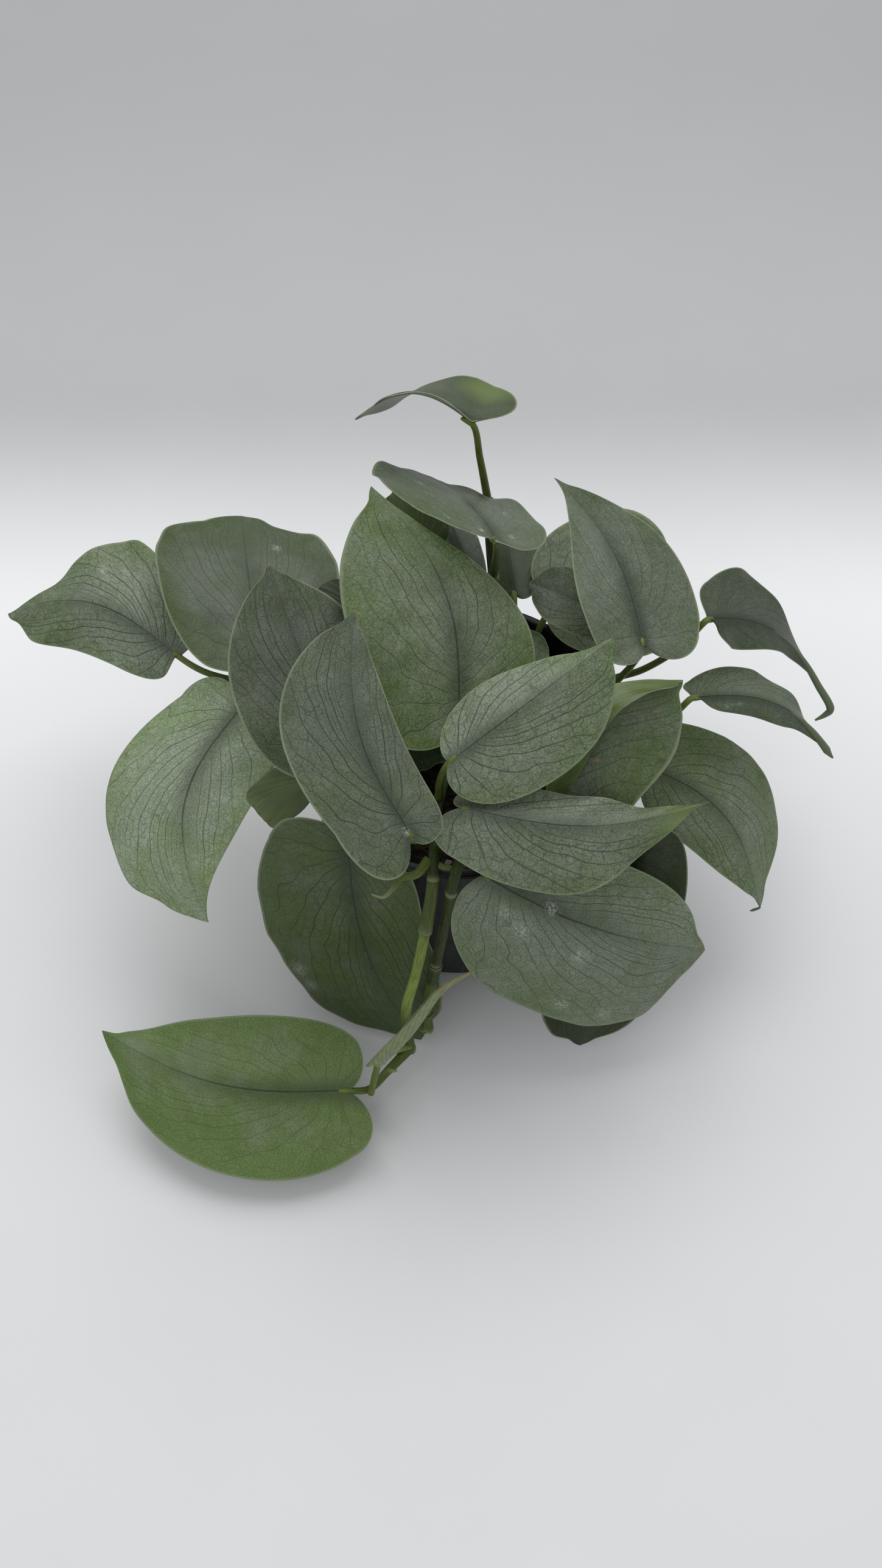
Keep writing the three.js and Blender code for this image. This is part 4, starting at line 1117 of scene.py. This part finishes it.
def rolled_leaf():
    """The rolled blade, a core inside it, and the short stem on which it stands."""
    path = smooth_path(FURLED_LINE, 0.7)
    share = distances(path) / distances(path)[-1]
    radii = np.interp(share, np.linspace(0, 1, len(FURLED_RADII)), FURLED_RADII)
    ways = unit(np.gradient(path, axis=0))
    side = unit(np.cross(ways[0], [0.0, 1.0, 0.2]))
    turns, rows = FURLED_TURNS, len(path)
    angles = np.linspace(0, 2 * np.pi * FURLED_WINDS, turns)
    layers = [[], []]
    for k in range(rows):
        side = unit(side - ways[k] * (side @ ways[k]))
        other = np.cross(ways[k], side)
        reach = radii[k] * (0.72 + 0.28 * angles / angles[-1])
        spin = angles + FURLED_START + FURLED_TWIST * share[k]
        ring = np.cos(spin)[:, None] * side + FURLED_FLATNESS * np.sin(spin)[:, None] * other
        open_here = max(0, 1 - share[k] / MOUTH_SHARE)
        slant = MOUTH_REACH * open_here * np.clip(ring @ np.array(FURLED_MOUTH), 0, 1)
        centre = path[k] - ways[k] * slant[:, None]
        layers[0].append(centre + ring * reach[:, None])
        layers[1].append(centre + ring * (reach - FURLED_WALL)[:, None])
    place = np.stack([np.tile(angles, rows) * np.repeat(radii, turns), np.zeros(rows * turns),
                      np.repeat(distances(path), turns)], -1)
    scar = 0.8 * np.exp(-((share - 0.78) / 0.014) ** 2)
    dry = np.repeat(np.maximum(scar, np.clip((share - 0.8) * 2.2, 0, 0.35)), turns)
    core = stalk_part(path, np.maximum(radii * 0.6, 0.2), 0, 10, young=0.5, ring=0.0, dry=0.0)
    sheet = Part(np.concatenate(layers[0] + layers[1]), shell_faces(rows, turns), 0,
                 stalk_place=np.tile(place, (2, 1)), dry=np.tile(dry, 2))
    stem = smooth_path([(-27, -92, 41), (-26.8, -92.2, 38), (-28, -93.3, 30), (-29.4, -94, 19.2)], 1.0)
    stem = stalk_part(stem, 1.15, 1, 14, young=0.55, ring=0.0, dry=0.0)
    return [sheet, core, stem]


make_piece("furled_leaf", rolled_leaf(), [furled_finish(), STALK], "young_leaf", "leaf_furled")
print("furled leaf made")

# %% [markdown]
# ## The pot
#
# Nursery pots are blow moulded or injection moulded from thin black plastic, with a rolled lip. It is one
# profile spun round an axis, with every edge rounded, because no moulded edge is sharp. A Screw modifier
# could spin it, but a few lines of numbers leave nothing to apply, and the soil uses them too. The finish
# has faint upright streaks from the mould, and specks of dust.

# %% Pot
POT_HEIGHT = 97.0
RIM_RADIUS = 54.0
FOOT_RADIUS = 40.5
WALL = 1.2
LIP_BOTTOM = 93.4
LIP_WIDTH = 2.8
POT_FLOOR = 1.4
EDGE_ROUNDING = 0.9
PLASTIC_BLACK = (0.007, 0.008, 0.009)
PLASTIC_STREAK = (0.018, 0.019, 0.021)
DUST = (0.10, 0.10, 0.095)


def rounded(profile, radius, steps=5):
    """A profile with its corners rounded."""
    made = [profile[0]]
    for before, corner, after in zip(profile, profile[1:], profile[2:]):
        before, corner, after = (np.array(p, float) for p in (before, corner, after))
        back, forth = before - corner, after - corner
        reach = min(radius, np.linalg.norm(back) / 2.2, np.linalg.norm(forth) / 2.2)
        a = corner + back / np.linalg.norm(back) * reach
        b = corner + forth / np.linalg.norm(forth) * reach
        for t in np.linspace(0, 1, steps):
            made.append(tuple((1 - t) ** 2 * a + 2 * (1 - t) * t * corner + t ** 2 * b))
    return made + [profile[-1]]


def spun(profile, sides=144):
    """Points and faces of a profile turned round the upright axis, its ends closed by a point."""
    rings = profile[1:-1]
    angles = 2 * np.pi * np.arange(sides) / sides
    points = [(0, 0, profile[0][1])]
    points += [(r * math.cos(a), r * math.sin(a), z) for r, z in rings for a in angles]
    points.append((0, 0, profile[-1][1]))
    faces = []
    for c in range(sides):
        d = (c + 1) % sides
        faces.append([0, 1 + d, 1 + c])
        for k in range(len(rings) - 1):
            a, b = 1 + k * sides + c, 1 + k * sides + d
            faces.append([a, b, b + sides, a + sides])
        last = 1 + (len(rings) - 1) * sides
        faces.append([last + c, last + d, len(points) - 1])
    return np.array(points), faces


def pot_finish():
    material, tree, shader = finish_of("black_plastic", 0.42, Specular_IOR_Level=0.2)
    place = node(tree, "NewGeometry").outputs["Position"]
    stretched = node(tree, "Mapping", Vector=place, Scale=(1.0, 1.0, 0.15)).outputs[0]
    streak = noise_at(tree, stretched, 260.0, 4.0)
    colour = mixed(tree, ramp(tree, streak, 0.3, 0.75), PLASTIC_BLACK, PLASTIC_STREAK)
    dust = noise_at(tree, place, 1500.0, 1.0)
    colour = mixed(tree, ramp(tree, dust, 0.66, 0.72, 0.0, 0.5), colour, DUST)
    tree.links.new(colour, shader.inputs["Base Color"])
    tree.links.new(ramp(tree, streak, 0.3, 0.7, 0.34, 0.52), shader.inputs["Roughness"])
    bump(tree, shader, streak, 0.0002, 0.25)
    return material


def outside(z):
    """The pot's radius at a height, below its lip."""
    return FOOT_RADIUS + (RIM_RADIUS - 1.6 - FOOT_RADIUS) * z / POT_HEIGHT


pot_profile = rounded([(0, 0), (FOOT_RADIUS - 3, 0), (FOOT_RADIUS - 2.6, 0), (FOOT_RADIUS, 1.5),
                       (outside(92.6), 92.6), (RIM_RADIUS, LIP_BOTTOM), (RIM_RADIUS, POT_HEIGHT),
                       (RIM_RADIUS - LIP_WIDTH, POT_HEIGHT), (outside(90) - WALL, 90),
                       (FOOT_RADIUS - WALL - 0.2, POT_FLOOR + 1), (FOOT_RADIUS - 4, POT_FLOOR),
                       (0, POT_FLOOR)], EDGE_ROUNDING)
pot_points, pot_faces = spun(pot_profile)
pot = make_piece("nursery_pot", [Part(pot_points, pot_faces, 0)], [pot_finish()], "pot", "pot", sharp=35)
print("pot profile has", len(pot_profile), "points")

# %% [markdown]
# ## Drainage holes
#
# A pot needs holes in its floor to let water out. A hole is easiest to make by taking a plain cylinder
# away from the finished pot with a Boolean modifier, which keeps the floor's thickness showing inside the
# hole. The modifier is applied at once, and the cylinder is then thrown away.

# %% Drainage holes
DRAIN_HOLES = 6
DRAIN_RADIUS = 4.0
DRAIN_CIRCLE = 30.0

for k in range(DRAIN_HOLES):
    turn = 2 * math.pi * (k + 0.5) / DRAIN_HOLES
    centre = (DRAIN_CIRCLE * MM * math.cos(turn), DRAIN_CIRCLE * MM * math.sin(turn), 0)
    bpy.ops.mesh.primitive_cylinder_add(vertices=40, radius=DRAIN_RADIUS * MM, depth=6 * MM, location=centre)
    punch = bpy.context.active_object
    cut = pot.modifiers.new("drain", "BOOLEAN")
    cut.object = punch
    cut.operation = "DIFFERENCE"
    bpy.context.view_layer.objects.active = pot
    bpy.ops.object.modifier_apply(modifier=cut.name)
    bpy.data.objects.remove(punch)
print("pot has", len(pot.data.polygons), "faces after", DRAIN_HOLES, "holes")

# %% [markdown]
# ## The soil
#
# Potting mix is dark peat with chips of bark and a little white perlite. The surface is a low mound made
# rough by noise, and the chips are small broken lumps strewn over it. Particles could strew copies of one
# lump, but a loop gives each its own shape, a small hull of random points, in the soil's own mesh.

# %% Soil
SOIL_EDGE = 85.0
SOIL_RADIUS = 49.2
MOUND = 1.6
CHIPS = 260
CHIP_SIZES = (0.7, 2.1)
PERLITE_SHARE = 0.1
PEAT_DARK = (0.008, 0.006, 0.005)
PEAT_LIGHT = (0.038, 0.029, 0.021)
PERLITE = (0.22, 0.21, 0.19)


def soil_finish():
    material, tree, shader = finish_of("peat_and_bark", 0.95, Specular_IOR_Level=0.1)
    place = node(tree, "NewGeometry").outputs["Position"]
    crumb = noise_at(tree, place, 420.0, 6.0)
    colour = mixed(tree, ramp(tree, crumb, 0.35, 0.7), PEAT_DARK, PEAT_LIGHT)
    colour = mixed(tree, attribute(tree, "perlite"), colour, PERLITE)
    tree.links.new(colour, shader.inputs["Base Color"])
    bump(tree, shader, crumb, 0.0012, 0.9)
    return material


def mound_part():
    """The body of the soil, with a rough mound on top that is smooth where it meets the pot."""
    profile = [(0, 2.0), (FOOT_RADIUS - WALL - 0.6, 2.0)]
    profile += [(SOIL_RADIUS - (SOIL_EDGE - z) * 0.12, z) for z in (30, 60, 83.6)]
    profile += [(SOIL_RADIUS * share, SOIL_EDGE + MOUND * (1 - share ** 2))
                for share in np.linspace(0.995, 0.02, 46)]
    profile.append((0, SOIL_TOP - 0.4))
    points, faces = spun(profile, 150)
    top = points[:, 2] > SOIL_EDGE - 0.8
    rough = np.array([noise.noise((x / 3.2, y / 3.2, 1.0)) + 0.5 * noise.noise((x / 1.3, y / 1.3, 4.0))
                      for x, y, z in points])
    edge = np.clip((SOIL_RADIUS - np.hypot(points[:, 0], points[:, 1])) / 2, 0, 1)
    points[:, 2] += top * rough * 0.8 * edge
    return Part(points, faces, 0, perlite=0.0)


def chip_part(rng):
    """A lump of bark, or one time in ten of white perlite, somewhere on the mound."""
    away, turn = SOIL_RADIUS * 0.95 * math.sqrt(rng.random()), 2 * math.pi * rng.random()
    size = rng.uniform(*CHIP_SIZES)
    corners = rng.normal(size=(14, 3))
    corners = unit(corners) * rng.uniform(0.75, 1.0, (14, 1)) * size * [1.0, rng.uniform(0.5, 0.9), 0.5]
    spin = 2 * math.pi * rng.random()
    cos, sin = math.cos(spin), math.sin(spin)
    corners = corners @ np.array([[cos, -sin, 0], [sin, cos, 0], [0, 0, 1]])
    shape = bmesh.new()
    for corner in corners:
        shape.verts.new(corner)
    bmesh.ops.convex_hull(shape, input=shape.verts)
    bmesh.ops.delete(shape, geom=[v for v in shape.verts if not v.link_faces], context="VERTS")
    shape.verts.index_update()
    height = SOIL_EDGE + MOUND * (1 - (away / SOIL_RADIUS) ** 2) + 0.2 * size
    middle = np.array([away * math.cos(turn), away * math.sin(turn), height])
    points = np.array([v.co for v in shape.verts]) + middle
    faces = [[v.index for v in face.verts] for face in shape.faces]
    shape.free()
    return Part(points, faces, 0, perlite=1.0 if rng.random() < PERLITE_SHARE else 0.0)


chips = np.random.default_rng(11)
soil_parts = [mound_part()] + [chip_part(chips) for _ in range(CHIPS)]
soil = make_piece("potting_mix", soil_parts, [soil_finish()], "soil", "soil", sharp=30)
print("soil has", len(soil.data.polygons), "faces")

# %% [markdown]
# ## Floor and light
#
# The plant stands on pale paper. Its colour holds painted light: lighter in a band round the plant and
# greyer far behind it, where the light falls off, so there is no edge in the picture. A sweep that curves
# up behind would do the same, but it hides the plant from that side. The main light is large and hangs
# behind and above the plant: it draws the bright rims of the leaves, and lets their faint shadows fall
# forward. A smaller one fills from the front left, and the world fills the rest.

# %% Floor and light
FLOOR_REACH = 1500.0
PAPER = (0.735, 0.74, 0.75)
PAPER_LIGHT = (0.765, 0.77, 0.78)
ROOM_LIGHT = (0.97, 0.98, 1.0, 1)
ROOM_STRENGTH = 0.54


def paper_floor():
    """A wide sheet of paper. Its three ramps paint a band of light and the shade at the far end."""
    reach = FLOOR_REACH * MM
    corners = [(x * reach, y * reach, 0) for x, y in ((-1, -1), (1, -1), (1, 1), (-1, 1))]
    mesh = bpy.data.meshes.new("paper_floor")
    mesh.from_pydata(corners, [], [[0, 1, 2, 3]])
    material, tree, shader = finish_of("pale_paper_with_painted_light", 0.9)
    grain = node(tree, "TexNoise", Scale=60.0).outputs[0]
    colour = mixed(tree, grain, PAPER, PAPER_LIGHT)
    back = node(tree, "SeparateXYZ", Vector=node(tree, "NewGeometry").outputs["Position"]).outputs[1]
    # Painted light: a lighter band round the plant, then painted shade greyer and greyer far behind it.
    colour = tinted(tree, colour, ramp(tree, back, -0.04, 0.12, 0.96, 1.09))
    colour = tinted(tree, colour, ramp(tree, back, 0.12, 0.25, 1.0, 0.53))
    colour = tinted(tree, colour, ramp(tree, back, 0.25, 0.50, 1.0, 0.86))
    tree.links.new(colour, shader.inputs["Base Color"])
    mesh.materials.append(material)
    made = bpy.data.objects.new("paper_floor", mesh)
    bpy.context.scene.collection.objects.link(made)


def soft_light(name, place, aim, size, power):
    light = bpy.data.lights.new(name, "AREA")
    light.shape = "DISK"
    light.size = size
    light.energy = power
    made = bpy.data.objects.new(name, light)
    made.location = place
    made.rotation_euler = (Vector(aim) - Vector(place)).to_track_quat("-Z", "Y").to_euler()
    bpy.context.scene.collection.objects.link(made)


paper_floor()
soft_light("overhead_light", (0.0, 0.55, 1.15), (0, 0.05, 0.0), 1.2, 10.0)
soft_light("window_light", (-0.35, -0.80, 1.10), (0, 0, 0.05), 0.9, 1.8)
world = bpy.data.worlds.new("soft_room")
world.use_nodes = True
world.node_tree.nodes["Background"].inputs[0].default_value = ROOM_LIGHT
world.node_tree.nodes["Background"].inputs[1].default_value = ROOM_STRENGTH
bpy.context.scene.world = world
print("floor and light ready")
